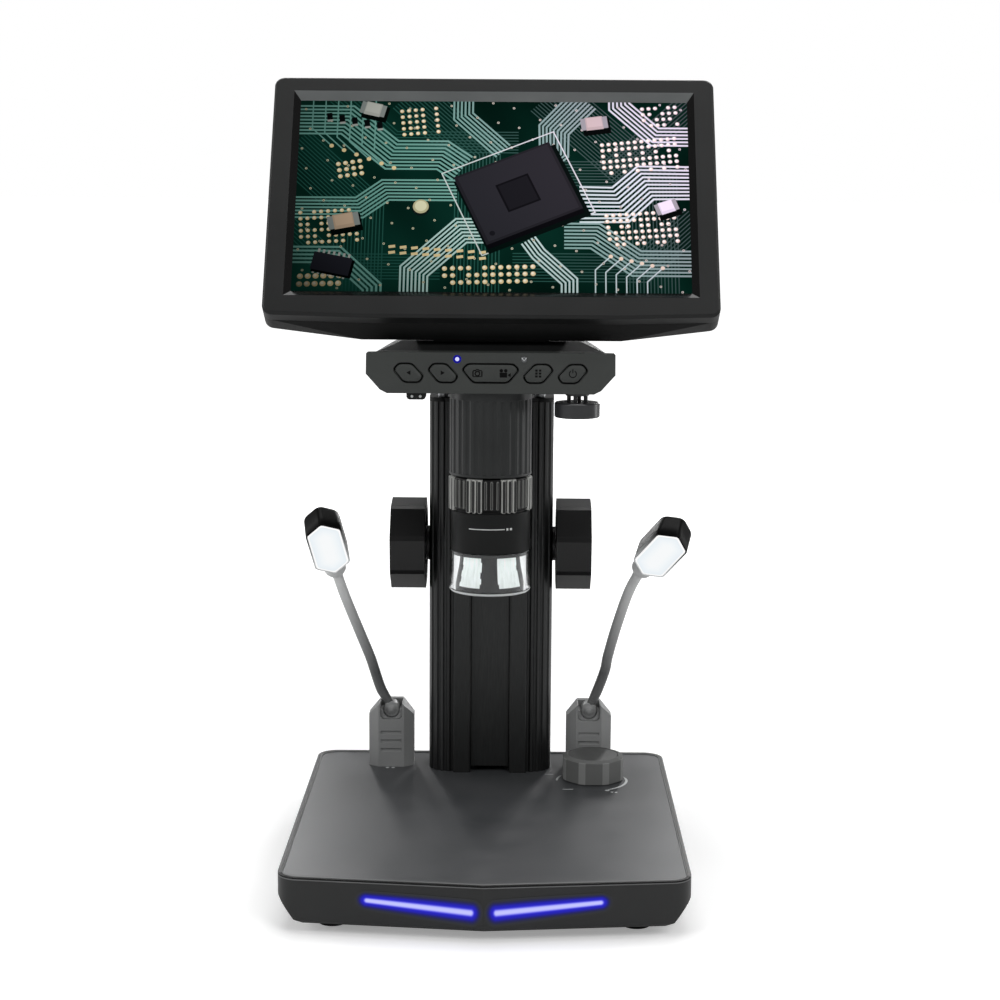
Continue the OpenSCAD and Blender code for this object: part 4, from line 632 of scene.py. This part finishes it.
def window_trim():
    """Polished trim on the window's sloping edge: four mitred strips between the picture and the bezel's face. The top
    strip is painted lighter grey as a painted reflection.
    """
    slope, tall, steps = 2.7, 3.6, 9
    w, low, high = PICTURE_W / 2, PICTURE_LOW, PICTURE_LOW + PICTURE_H
    t = np.linspace(0, 1, steps)
    left, right = -w - slope * t, w + slope * t
    bottom, top = low - slope * t, high + tall * t
    out = PICTURE + 0.04 + (FACE - PICTURE) * t
    loop = [on_screen(a, b, out) for a, b in ((left, bottom), (right, bottom), (right, top), (left, top))]
    points = [[loop[k], loop[(k + 1) % 4]] for k in range(4)]
    piece = build("window_trim", points, grid_faces(2, steps, count=4), gloss_black, "screen",
                  smooth=False)
    # the top strip is painted lighter grey: a painted reflection
    repaint(piece, [painted_reflection_grey], np.repeat([0, 0, 1, 0], steps - 1))


window_trim()


# ---------- key icons, lamps and marks ----------

def inlay(name, outlines, place, material, body, height=0.05):
    """Raised ink: every outline in the plane is filled, and given a low wall that sinks into the face."""
    points, faces, count = [], [], 0
    for ring in outlines:
        x, y = np.asarray(ring, float).T
        n = len(x)
        a = np.arange(n)
        b = (a + 1) % n
        points += [place(x, y, height), place(x, y, -height)]
        faces += [(a + count).tolist(), (a[::-1] + n + count).tolist()]
        faces += (np.column_stack([a, a + n, b + n, b]) + count).tolist()
        count += 2 * n
    build(name, np.concatenate(points), faces, material, body, smooth=False)


def disc(x, y, r, sides=24):
    """A circle's points, anticlockwise."""
    return polar(circle(sides), r) + (x, y)


def band(x, y, r, width, start, end):
    """A stretch of a ring between two angles in degrees, as one outline."""
    a = np.radians(np.linspace(start, end, 40))
    return np.concatenate([polar(a, r + width / 2), polar(a[::-1], r - width / 2)]) + (x, y)


KEY_CENTRES = {"key_previous": -31.4, "key_next": -18.2, "key_menu": 18.2, "key_power": 31.4, "key_capture": 0.0}


def key_tops():
    """Crowned key tops: a rounded outline drawn in ring by ring while it rises, over a wall in its opening painted
    black as painted shade.
    """
    w, h, long = 5.5, 3.4, 10.6
    small = np.array([(-w, 0.36 * h), (-0.68 * w, h), (0.22 * w, h), (w, -0.33 * h), (0.74 * w, -h), (-0.29 * w, -h)])
    rocker = np.array([(-long, 0.4 * h), (-0.82 * long, h), (0.82 * long, h), (long, 0.4 * h), (0.62 * long, -h),
                       (-0.62 * long, -h)])
    steps = ((0.0, -2.2), (0.0, -0.35), (0.06, -0.1), (0.3, 0.12), (0.65, 0.28), (1.1, 0.37), (1.5, KEY_FACE))
    for name, x in KEY_CENTRES.items():
        plan = rocker if name == "key_capture" else small * [-1 if x > 0 else 1, 1]

        def outline(gap):
            """The key's plan on the panel, set in by gap, with corners that tighten inwards."""
            return rounded(inset(plan, gap), 1.5 - gap * 0.6) + [x, KEY_ROW]

        rings = [(outline(gap), out) for gap, out in steps]
        piece = loft(name + "_top", rings, on_panel, abs_panel, name)
        repaint(piece, [abs_rear], np.arange(len(piece.data.polygons)) < 2 * len(rings[0][0]))
        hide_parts(name)
        # black line round the opening in the panel: painted shade that widens the gap's shadow
        rim = [outline(-0.42), outline(-0.62)]
        build(name + "_rim", on_panel(*np.concatenate(rim).T, 0.03), grid_faces(2, len(rim[0]), wrap=True), abs_rear,
              "head", smooth=False)


key_tops()


def key_icon(name, outlines, body):
    """An icon printed on a key's face."""
    inlay(name, outlines, lambda x, y, out: on_panel(x, KEY_ROW + y, KEY_FACE + out), key_ink, body)


key_icon("icon_previous", [[(-32.1, 0), (-30.6, -0.85), (-30.6, 0.85)]], "key_previous")
key_icon("icon_next", [[(-17.5, 0), (-19.0, 0.85), (-19.0, -0.85)]], "key_next")
camera = [band(-5.0, -0.2, 0.85, 0.45, 0, 358), box2(-6.7, -0.3, 0.45, 2.1), box2(-3.3, -0.3, 0.45, 2.1),
          box2(-6.1, 0.95, 1.1, 0.4), box2(-3.9, 0.95, 1.1, 0.4), box2(-5, 1.3, 1.3, 0.4), box2(-5, -1.35, 3.0, 0.3)]
video = [box2(4.9, -0.7, 2.8, 1.9), [(6.5, -0.7), (7.7, -1.5), (7.7, 0.1)], disc(4.1, 1.0, 0.65), disc(5.8, 1.0, 0.65)]
key_icon("icon_capture", camera + video, "key_capture")
key_icon("icon_menu", [box2(18.2 + i * 1.4, j * 1.15, 0.9, 0.75) for i in (-0.5, 0.5) for j in (-1, 0, 1)], "key_menu")
key_icon("icon_power", [band(31.4, -0.1, 1.35, 0.34, 125, 415), box2(31.4, 1.0, 0.34, 1.5)], "key_power")


def indicators():
    """Two domes in the key panel: quarter-ellipse profiles turned round their own axes, the left one lit blue."""
    steps, rings, place_x, tall = 24, 8, 12.8, 0.55
    angle = circle(steps)
    rise = np.linspace(0, math.pi / 2, rings, endpoint=False)[:, None]
    up = 15.3 / math.cos(PANEL_LEAN) - 2.5
    points, faces = [], []
    for k, x in enumerate((-place_x, place_x)):
        r, out = (0.8 + 0.35 * k) * np.cos(rise), tall * np.sin(rise)
        dome = on_panel(x + r * np.cos(angle), up + r * np.sin(angle), out).reshape(-1, 3)
        points += [dome, on_panel(x, up, tall).reshape(1, 3)]
        first = k * (len(dome) + 1)
        last, pole = first + len(dome) - steps, first + len(dome)
        faces += (grid_faces(rings, steps, wrap=True) + first).tolist()
        faces += [[last + i, last + (i + 1) % steps, pole] for i in range(steps)]
    piece = build("indicator_domes", np.concatenate(points), faces, blue_led, "head")
    repaint(piece, [clear_led], np.repeat([0, 1], len(faces) // 2))
    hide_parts("indicator_lenses")
    # blue light that the lit lamp spills onto the plastic round it
    inlay("indicator_halo", [disc(-place_x, up, 1.6, 40)], on_panel, blue_spill, "head", 0.02)
    # two short pale strokes on the unlit lamp's dome: a painted glint
    strokes = [[(11.75, up + 0.6), (12.15, up + 0.6), (12.85, up - 0.6), (12.6, up - 0.6)],
               [(13.45, up + 0.6), (13.85, up + 0.6), (13.0, up - 0.6), (12.75, up - 0.6)]]
    inlay("indicator_painted_glint", strokes, on_panel, print_and_glint_ink, "head", 0.62)


indicators()


def light_bars():
    """Lit diffusers: slot shapes round a line, whose glow falls from a violet white core through a blue halo to a dim
    grey at the edge; the halo over the plastic round the bars and the grey glow at its edge are painted light.
    """
    material, tree, place = blank("light_bar_painted_halo")
    surfaced(material, "BsdfPrincipled", {
        "Base Color": ink("#121313"), "Roughness": sheen(tree, place, 2, 0.41, 0.05), "Specular IOR Level": 0.2,
        "Emission Color": carried(tree), "Emission Strength": 1.0})
    slope, middle, height, proud, half = math.radians(4.3), 22.7, 12.1, 0.12, 18.2
    reach = np.array([0.0, 0.45, 0.75, 1.0, 1.25, 1.5, 1.8, 2.2, 2.6, 3.1, 3.7, 4.4])
    # the outer rings are painted light: a blue halo, then a grey glow like the lit black plastic round the bars
    glow = inks("#c4c6ff", "#bcbeff", "#9c9df8", "#6563e8", "#3533d2", "#1713bd", "#120eb4", "#0f0ba2", "#0e0c78",
                "#17174c", "#242532", "#2a2b2b")
    around = circle(120)
    along = np.clip(np.cos(around) / 0.25, -1, 1) * half + reach[:, None] * np.cos(around)
    across = reach[:, None] * np.sin(around) * (1 - 0.16 * along / half)
    x = middle + along * math.cos(slope) - across * math.sin(slope)
    z = height + along * math.sin(slope) + across * math.cos(slope)
    points = [stack(side * (x * math.cos(FACET) + proud * math.sin(FACET)),
                    TIP + x * math.sin(FACET) - proud * math.cos(FACET), z) for side in (-1, 1)]
    one = grid_faces(len(reach), len(around), wrap=True)
    shades = np.tile(np.repeat(glow, len(around), axis=0), (2, 1))
    piece = build("light_bar_glow", points, np.concatenate([one, one[:, ::-1] + along.size]), material, "stand",
                  smooth=False, shade=shades)
    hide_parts("light_bars")


light_bars()


def crescent(first, last, low_radius, high_radius, width):
    """A stroke round the dial whose radius grows evenly from the first angle to the last, tapered at both ends."""
    t = np.linspace(0, 1, 60)
    a = np.radians(first + (last - first) * t)
    radius = low_radius + (high_radius - low_radius) * t
    half = width / 2 * np.clip(np.sin(math.pi * t) * 2.2, 0.25, 1)
    ring = np.concatenate([polar(a, radius + half), polar(a, radius - half)[::-1]])
    return (ring if last > first else ring[::-1]) + DIAL


inlay("dial_marks", [
    crescent(6, -76, 12.6, 18.2, 1.1), crescent(199, 168, 15.6, 13.0, 0.9), disc(47.6, 31.1, 0.95),
    disc(49.4, 28.6, 0.6), disc(51.0, 28.4, 0.6), box2(31.8, 32.0, 4.2, 0.6), box2(24.6, 53.0, 3.4, 0.5),
    disc(-42.5, 60.9, 0.75), disc(-40.1, 60.9, 0.75)],
    on_stage, print_and_glint_ink, "stand", 0.03)


def base_plan(gap):
    """Plan of the base, set in by gap: the tip, and arcs about the centres of the corners, joined by straight sides."""
    steps, run, r = 12, math.hypot(1, FACET_SLOPE), BASE_CORNER - gap
    x, back = BASE_HALF - BASE_CORNER, BASE_BACK - BASE_CORNER
    fore = TIP + x * FACET_SLOPE + BASE_CORNER * run
    front, rear = np.linspace(math.atan2(-1, FACET_SLOPE), 0, steps), np.linspace(0, math.pi / 2, steps)
    right = np.concatenate([[(0, TIP + gap * run)], polar(front, r) + (x, fore), polar(rear, r) + (x, back)])
    return np.concatenate([right, right[:0:-1] * (-1, 1)])


def bead(name, section, finish, slot, stretch=slice(None)):
    """A form along the base's plan or a stretch of it. Its section, from the outer side upwards, is in gaps from the
    plan and heights above the stage."""
    lines = [base_plan(gap)[stretch] for gap, z in section]
    m, n = len(section), len(lines[0])
    points = [stack(*line.T, STAGE + z) for line, (gap, z) in zip(lines, section)]
    closed = n == len(base_plan(0))
    faces = (grid_faces(m + 1, n, wrap=closed) % (m * n)).tolist()
    if not closed:
        faces += [list(range(0, m * n, n)), list(range(n - 1, m * n, n))[::-1]]
    build(name, points, faces, finish, "stand", smooth=False)


def stage_edges():
    """Grey seal in the groove round the stage plate, and along the front black strips painted as the shadow of a gap
    and pale grey strips painted as highlights on the edges.
    """
    front = np.r_[39:49, 0:11]
    seal = ((1.34, -0.5), (1.32, 0.36), (1.45, 0.42), (1.72, 0.3), (1.78, 0.02), (1.78, -0.5))
    bead("stage_seal", seal, seal_grey, "foot_rubber")
    # black strips are painted shadow of the gap, grey strips are painted highlights along the edges
    for name, outer, inner, low, high, finish in (
            ("front_painted_shadow", 0.25, 1.3, 0.37, 0.43, abs_rear), ("plate_edge_painted_highlight", 2.4, 3.3, -0.02, 0.02, edge_painted_highlight),
            ("front_painted_gap_shadow", -0.05, 0.05, -0.1, 0.42, abs_rear),
            ("front_edge_painted_highlight", -0.05, 0.05, -0.5, -0.1, edge_painted_highlight)):
        bead(name, ((outer, low), (outer, high), (inner, high), (inner, low)), finish, "base_plastic", front)


stage_edges()


def dimmer_dial():
    """Dial: eight flats with a narrow facet between each pair, painted lighter as a painted highlight, a wide sloping
    edge and a shallow dish painted darker as painted shade.
    """
    flat, half = 12.2, 3.45
    turn = np.radians(45 * np.repeat(np.arange(8), 2)) + np.tile([-1, 1], 8) * math.atan(half / flat)
    plan = polar(turn, math.hypot(flat, half))
    steps = ((1, 20.3), (1, 29.1), (0.985, 29.3), (0.85, 30.05), (0.84, 30.05), (0.8, 29.8), (0.3, 29.6))
    piece = loft("dimmer_dial", [(plan * k + DIAL, z) for k, z in steps], stack, abs_dial, "dimmer",
                 smooth=False)
    # wall and its lip in facets, the sloping edge, its rim, the dish, the foot and the middle: the narrow facets and
    # the rim carry the painted highlight, the dish and the middle the painted shade
    facets = [0, 1] * 16
    repaint(piece, (dial_painted_highlight, dial_top_painted_shade), facets + [0] * 16 + [1] * 16 + [2] * 32 + [0] * 16 + [2] * 16)
    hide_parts("dimmer_knob")


dimmer_dial()


def scale_marks():
    """A hair line and two dots on the lens sleeve: strips bent round its surface."""
    radius, height, steps = 15.63, 128, 30
    points = [on_barrel(radius, np.radians(np.linspace(start, end, steps) - 90), height + side * tall / 2)
              for start, end, tall in ((-31, 22, 0.35), (24.5, 27.5, 0.9), (30, 33.5, 0.9)) for side in (-1, 1)]
    build("sleeve_scale", points, grid_faces(2, steps, count=3), print_and_glint_ink, "head")


scale_marks()


def pane_material():
    """Reflector: white plastic that glows as painted light from the lamp ring above, brighter towards the top, in fine
    upright streaks.
    """
    material, tree, place = blank("reflector_white_painted_glow")
    streak = grain(tree, place, 0.9, 2.0, (1, 1, 0.06))
    high = node(tree, "SeparateXYZ", {"Vector": place}).outputs["Z"]
    fall = node(tree, "MapRange", {"Value": high, "From Min": 0.102, "From Max": 0.117, "To Min": 0.62, "To Max": 0.95})
    return surfaced(material, "BsdfPrincipled", {
        "Base Color": ink("#aeb2b0"), "Roughness": 0.3, "Emission Color": mottled(tree, streak, "#d2d8d4", "#f4f8f6"),
        "Emission Strength": fall.outputs["Result"]})


def reflector():
    """Bell inside the clear cap: five black ribs part five panes that glow as painted light, over a black rim."""
    steps, pitch, rib, rim_top = 180, 72, 30, 104.3
    bell = [(11.4, 116.4), (11.7, 116.4), (11.8, 114.4), (12.0, 112.6), (12.3, 110.6), (12.8, 108.2), (13.2, 106.0),
            (13.5, 104.4), (13.55, 104.2), (13.8, 102.4), (13.6, 102.2), (13.2, 104.2), (12.9, 106.0), (12.5, 108.2),
            (12.0, 110.6), (11.7, 112.6), (11.5, 114.4), (11.4, 116.4)]
    piece = turned("cap_reflector", bell[::-1], (0, BARREL_Y, 0), (0, 0, 1), pane_material(), "head",
                   steps)
    middle = np.zeros(len(piece.data.polygons) * 3)
    piece.data.polygons.foreach_get("center", middle)
    x, y, z = middle.reshape(-1, 3).T
    turn = (np.degrees(np.arctan2(y - BARREL_Y * MM, x)) + 90 + rib / 2) % pitch
    repaint(piece, [abs_rear], (turn < rib) | (z < rim_top * MM))


reflector()
# A film round the back of the cap, towards the column, that glows white as painted light, and the ground edge round its
# mouth
film = on_barrel(14.25, np.radians(np.linspace(-28, 208, 80)), np.array([102.6, 107.0, 112.0, 116.3])[:, None])
build("cap_film", film, grid_faces(4, 80)[:, ::-1], white_painted_glow, "head")
turned("cap_edge", [(14.42, 101.66), (15.4, 101.66), (15.75, 102.1), (16.03, 102.5), (16.03, 102.65)],
       (0, BARREL_Y, 0), (0, 0, 1), frosted, "head", 96)


def grip_ring():
    """Focus ring on an unrolled grid of angle and height. Every pad is the set of points within half its width of an
    upright line: it stands up to 0.9 mm out, its side falls over 0.22 mm, and its rim is higher than its middle."""
    low, high, base_radius, bore = 134.1, 147.9, 15.5, 14.62
    groups, pads, step = 7, 6, 2 * math.pi / 42
    angle = circle(1176)

    def aside(turn):
        """How far round every point is from an angle."""
        return np.abs((angle - turn + math.pi) % (2 * math.pi) - math.pi)

    z = np.concatenate([[low, low + 0.02], np.linspace(low + 0.2, high - 0.2, 60), [high - 0.02, high]])[:, None]
    end = np.minimum(z - (low + 0.75), high - 0.35 - z)
    radius = np.maximum(base_radius - 0.8 * np.clip(0.4 - end, 0, 1) ** 2 / 0.16 * (end < 0.4), bore) + 0 * angle
    rise, rim_painted_highlight = np.zeros_like(radius), np.zeros_like(radius)
    for k in range(groups):
        for place in range(-1, pads - 1):
            # three long pads and three short, narrow ones in each group
            half, first, last = (0.9, low, high - 0.5) if place < 2 else (0.55, low + 1.5, high - 1.1)
            across = aside((k * pads + place) * step - math.pi / 2 + 3.3 * step) * base_radius
            beyond = np.maximum(np.maximum(first + half - z, z - (last - half)), 0)
            edge = half - np.hypot(across, beyond)
            pad = np.clip(edge / 0.22, 0, 1)
            pad = pad * pad * (3 - 2 * pad) * (0.78 + 0.12 * np.exp(-((edge - 0.3) / 0.16) ** 2))
            rise = np.maximum(rise, pad)
            rim_painted_highlight = np.maximum(rim_painted_highlight, np.exp(-((edge - 0.16) / 0.13) ** 2) * (1.0 if place < 2 else 0.35))
        # a pale band painted as a highlight across the top of each long group
        over = aside((k * pads + 3.3) * step - math.pi / 2) < 1.45 * step
        rim_painted_highlight = np.maximum(rim_painted_highlight, 0.7 * np.exp(-((z - high + 0.75) / 0.3) ** 2) * over)
    radius = np.where(rise > 0.02, base_radius + rise, radius)
    radius[[0, -1]] = bore
    # grooves painted near black as painted shade, pad tops the plastic's dark grey, and pale rims and bands painted as
    # highlights
    dark, skin, light = inks("#040404", "#242525", "#d6d7d3")
    shade = dark + (skin - dark) * (rise > 0.5)[..., None]
    shade = shade + (light - shade) * rim_painted_highlight[..., None]
    piece = build("focus_grip", on_barrel(radius, angle, z), grid_faces(len(z), angle.size, wrap=True),
                  shaded("abs_grip_painted_light_and_shade", 0.42, 0.3), "focus_ring", shade=shade)
    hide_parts("focus_ring")


grip_ring()


def port_pins():
    """Two pin heads in the front of the port block: low domes, coloured pale grey as painted highlights."""
    profile = [(0, 0.4), (0.56, 0.4), (0.56, 0.1), (0.45, -0.06), (0.25, -0.18), (0, -0.22)]
    front_y, height = 15.0, 179.75
    for k, x in enumerate((-30.0, -26.8)):
        turned(f"port_pin_{k + 1}", profile, (x, front_y, height), (0, 1, 0), print_and_glint_ink, "head", 24)


port_pins()


# ---------- gooseneck lamps ----------

def neck_material():
    """Gooseneck under a grey polymer sleeve: satin, with fine rings, painted paler towards the top as painted light
    from the lamp.
    """
    material, tree, place = blank("gooseneck_grey_sleeve")
    high = node(tree, "SeparateXYZ", {"Vector": place}).outputs["Z"]
    lift = node(tree, "MapRange", {"Value": high, "From Min": 0.044, "From Max": 0.108})
    # painted light: the colour rises with height from mid grey to near white
    ramp = node(tree, "ValToRGB", {"Fac": lift.outputs["Result"]})
    low, top = ramp.color_ramp.elements
    low.color, top.color = ink("#6c6d6d"), ink("#e4e5e5")
    ramp.color_ramp.elements.new(0.25).color = ink("#5c5d5d")
    return surfaced(material, "BsdfPrincipled", {
        "Base Color": ramp.outputs["Color"], "Roughness": sheen(tree, place, 4, 0.47, 0.05)})


sleeve_grey = neck_material()
PIVOT_Z = 43.9                      # height of the knuckles
NECKS = {
    "left": [(-41, 66.8, PIVOT_Z), (-42.6, 66.5, 47.6), (-45.4, 65.8, 52.5), (-48.2, 64.6, 61.5), (-49.8, 63.8, 66.7),
             (-53.8, 62.4, 77.1), (-59.7, 60.2, 92.7), (-63.4, 59.5, 103.7)],
    "right": [(41, 66.8, PIVOT_Z), (42.4, 66.4, 47.8), (44.6, 65.8, 52.8), (47.5, 64.9, 61.5), (48.6, 64.3, 67.6),
              (52.0, 62.2, 81.0), (56.6, 60.0, 95.6), (61.2, 58.8, 104.9)],
}


def gooseneck(side, knots):
    """A ringed sleeve along a smooth curve, least inside the plug and flared at the nape."""
    sleeve, swell, pitch = 2.06, 0.07, 1.1
    path = smooth_path(knots, 420)
    length = np.concatenate([[0], np.cumsum(np.linalg.norm(np.diff(path, axis=0), axis=1))])
    flare = 0.9 * np.exp(-((length[-1] - length) / 1.9) ** 2)
    foot = 0.4 / (1 + np.exp((length - 6) / 0.8))
    points, faces = tube(path, sleeve + swell * np.abs(np.sin(math.pi * length / pitch)) + flare - foot)
    piece = build(side + "_gooseneck", points, faces, sleeve_grey, None)
    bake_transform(piece)
    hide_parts("neck_upper_" + side)


def knuckle(side, x):
    """The neck's foot: a round-edged disc across the plug's slot, with a stepped hub and its pin."""
    profile = [(0, 5.2), (1.4, 5.2), (1.4, 3.0), (2.7, 3.0), (3.1, 2.85), (3.28, 2.5), (3.3, 2.0), (3.3, -2.0),
               (3.28, -2.5), (3.1, -2.85), (2.7, -3.0), (1.7, -3.0), (1.68, -3.35), (1.5, -3.5), (1.0, -3.5),
               (1.0, -3.75), (0.9, -3.9), (0, -3.9)]
    piece = turned(side + "_knuckle", profile, (x, 67.8, PIVOT_Z), (0, 1, 0), knuckle_grey, side + "_arm_lower",
                   48)
    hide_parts("neck_lower_" + side)


def cradle(side, x):
    """Bearing in the plug's slot, under the knuckle: a block with a round hollow a little larger than the knuckle."""
    hollow, top = 3.45, 0.4
    outer = [(-4.45, top), (-4.45, -2.2), (-3.9, -3.2), (-2.7, -3.65), (2.7, -3.65), (3.9, -3.2), (4.45, -2.2),
             (4.45, top)]
    inner = polar(np.radians(np.linspace(0, -180, 25)), hollow)
    inlay(side + "_cradle", [np.concatenate([outer, [(hollow, top)], inner, [(-hollow, top)]])],
          lambda u, v, out: stack(x + u, 66.9 - out, PIVOT_Z + v), abs_plug, "stand", 3.6)


# Where each neck meets its lamp, and the lamp's turn about the vertical and its own length
LAMPS = {"left": ((-63.4, 59.5, 103.7), 11.2, -15.2), "right": ((61.2, 58.8, 104.9), -16.8, 38.3)}
LAMP_L, LAMP_W, LAMP_T, COLLAR, LAMP_LEAN = 28.2, 14.6, 12.0, 3.2, 32


def lamp_head(side):
    """Lamp head in its own frame, Y along it towards the neck and Z out of its back: hexagons lofted to a rounded
    back, a crowned diffuser with a bright rim, and a collar that narrows to the neck. The housing is painted
    paler towards the neck end and near the diffuser's face: painted glare from the lamp."""
    nape, turn, spin = LAMPS[side]
    to_world = (Matrix.Translation(nape) @ Matrix.Rotation(math.radians(turn), 4, "Z")
                @ Matrix.Rotation(math.radians(LAMP_LEAN - 90), 4, "X") @ Matrix.Rotation(math.radians(spin), 4, "Z")
                @ Matrix.Translation((0, -COLLAR - LAMP_L / 2, -LAMP_T / 2)))
    turned_by, moved_by = np.array(to_world.to_3x3()), np.array(to_world.translation)

    def place(x, y, z):
        return stack(x, y, z) @ turned_by.T + moved_by

    w, p = LAMP_W / 2, LAMP_L / 2
    q = p - w * 0.66
    plan = [(0, p), (-w, q), (-w, -q), (0, -p), (w, -q), (w, q)]
    # how far each outline is set in, its height and the radius of its corners
    steps = ((0.75, 1.2, 1.0), (0.62, 0.3, 1.0), (0.5, 0.0, 1.0), (0.2, 0.0, 1.2), (0.0, 0.3, 1.3), (0.0, 5.0, 1.6),
             (0.0, 10.4, 2.0), (0.15, 11.2, 2.1), (0.5, 11.8, 2.2), (1.1, 12.0, 2.4))
    rings = [(rounded(inset(plan, gap), soft), high) for gap, high, soft in steps]
    y = np.concatenate([ring[:, 1] for ring, high in rings])
    z = np.repeat([high for ring, high in rings], len(rings[0][0]))
    # painted glare: paler towards the neck end and near the diffuser's face, the front lip palest
    pale = (np.clip((y + 1) / 14, 0, 1) ** 1.5 * np.clip((7 - z) / 7, 0, 1)
            + 2 * np.clip(0.75 - z, 0, 1) * np.clip((y + 9) / 12, 0, 1))
    dark, light = inks("#060606", "#e4e6e6")
    head = loft(side + "_lamp_housing", rings, place, shaded(side + "_abs_with_painted_glare", 0.36, 0.1), side + "_lamp",
                shade=dark + (light - dark) * np.clip(pale, 0, 1)[:, None])
    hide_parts("lamp_head_" + side)

    steps = ((0.75, 1.1), (0.7, 0.3), (0.78, 0.08), (1.2, 0.0), (1.45, 0.03), (2.4, 0.0), (4.0, -0.02), (5.6, -0.03))
    rings = [(rounded(inset(plan, gap), 1.0), high) for gap, high in steps]
    tints = inks(*["#ffffff"] * 4, "#e9f0f4", "#edf3f7", "#f3f7f9", "#f7f9fa")
    lens = loft(side + "_diffuser", rings, place, lit_plastic, side + "_lamp",
                shade=np.repeat(tints, len(rings[0][0]), axis=0))
    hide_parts("lamp_lens_" + side)

    ring = disc(0, 0, 1.0, 40)
    steps = ((4.2, -1.0), (4.5, 0.3), (4.5, 3.3), (4.3, 4.2), (3.8, 5.0), (3.2, 5.5), (1.5, 5.5))
    loft(side + "_lamp_collar", [(ring * radius, high) for radius, high in steps],
         lambda x, y, out: place(x, p - 1.2 + out, LAMP_T / 2 + y), collar_grey, side + "_lamp")


for side, x in (("left", -41), ("right", 41)):
    gooseneck(side, NECKS[side])
    knuckle(side, x)
    cradle(side, x)
    lamp_head(side)


# ---------- room, lights and camera ----------

def backdrop():
    """A pale floor that renders white where nothing shades it, and a white room."""
    bpy.ops.mesh.primitive_plane_add(size=60)
    floor = bpy.context.object
    floor.name = "floor"
    material, tree, place = blank("paper_white")
    seen = node(tree, "LightPath").outputs["Is Camera Ray"]
    # close to the object the paper keeps its shadow, further out it is as white as the room
    far = node(tree, "VectorMath", {0: place}, operation="LENGTH").outputs["Value"]
    fade = node(tree, "MapRange", {"Value": far, "From Min": 0.3, "From Max": 1.2, "To Min": 0.3, "To Max": 1.0})
    lift = node(tree, "Math", {0: seen, 1: fade.outputs["Result"]}, operation="MULTIPLY").outputs["Value"]
    matt = node(tree, "BsdfDiffuse", {"Color": ink("#f4f4f4")})
    glow = node(tree, "Emission", {"Color": ink("#ffffff"), "Strength": lift})
    floor.data.materials.append(surfaced(material, "AddShader", {0: matt.outputs["BSDF"], 1: glow.outputs["Emission"]}))

    world = bpy.data.worlds.new("studio")
    scene.world = world
    world.use_nodes = True
    tree = world.node_tree
    tree.nodes.clear()
    path = node(tree, "LightPath").outputs
    shown = node(tree, "Math", {0: path["Is Camera Ray"], 1: path["Is Transmission Ray"]}, operation="MAXIMUM")
    level = node(tree, "MapRange", {"Value": shown.outputs["Value"], "To Min": 0.16, "To Max": 1.0})
    sky = node(tree, "Background", {"Color": ink("#ffffff"), "Strength": level.outputs["Result"]})
    node(tree, "OutputWorld", {"Surface": sky.outputs["Background"]})


def soft_box(name, at, aim_z, size, watts):
    """A rectangular area light, turned to face a point on the Z axis."""
    lamp = bpy.data.lights.new(name, "AREA")
    lamp.shape = "RECTANGLE"
    lamp.size, lamp.size_y = size
    lamp.energy = watts
    box = bpy.data.objects.new(name, lamp)
    scene.collection.objects.link(box)
    box.location = at
    box.rotation_euler = (Vector((0, 0, aim_z)) - Vector(at)).to_track_quat("-Z", "Y").to_euler()


def photographer():
    """The camera, from its place and its pitch, yaw and roll: roll turns right towards up."""
    at = (0.01022, -0.76933, 0.26062)
    pitch, yaw, roll = (math.radians(a) for a in (8.746, -0.459, 0.379))
    ahead = Vector((math.sin(yaw) * math.cos(pitch), math.cos(yaw) * math.cos(pitch), -math.sin(pitch)))
    right = Vector((math.cos(yaw), -math.sin(yaw), 0))
    up = right.cross(ahead)
    level_right = right * math.cos(roll) + up * math.sin(roll)
    level_up = up * math.cos(roll) - right * math.sin(roll)
    lens = bpy.data.cameras.new("camera")
    lens.lens, lens.sensor_width = 74.25, 36
    lens.clip_start, lens.clip_end = 0.05, 60
    eye = bpy.data.objects.new("camera", lens)
    scene.collection.objects.link(eye)
    turn = Matrix((level_right, level_up, -ahead)).transposed().to_4x4()
    eye.matrix_world = Matrix.Translation(at) @ turn
    scene.camera = eye


backdrop()
photographer()
# the last two are upright strips behind, which the stage shows as streaks of glare
for light in (("key", (0.7, -0.9, 1.1), 0.15, (0.7, 0.7), 6), ("fill", (-0.9, -0.7, 0.7), 0.15, (0.6, 0.6), 3.5),
              ("top", (0.0, 0.2, 1.4), 0.1, (0.9, 0.9), 9), ("rim_left", (-0.9, 0.35, 0.35), 0.15, (0.25, 0.9), 2),
              ("rim_right", (0.9, 0.35, 0.35), 0.15, (0.25, 0.9), 2),
              ("strip_left", (-0.36, 1.5, 0.55), 0.05, (0.14, 0.8), 2.5),
              ("strip_right", (0.42, 1.5, 0.55), 0.05, (0.2, 0.8), 6.5)):
    soft_box(*light)

scene.view_settings.view_transform = "Standard"
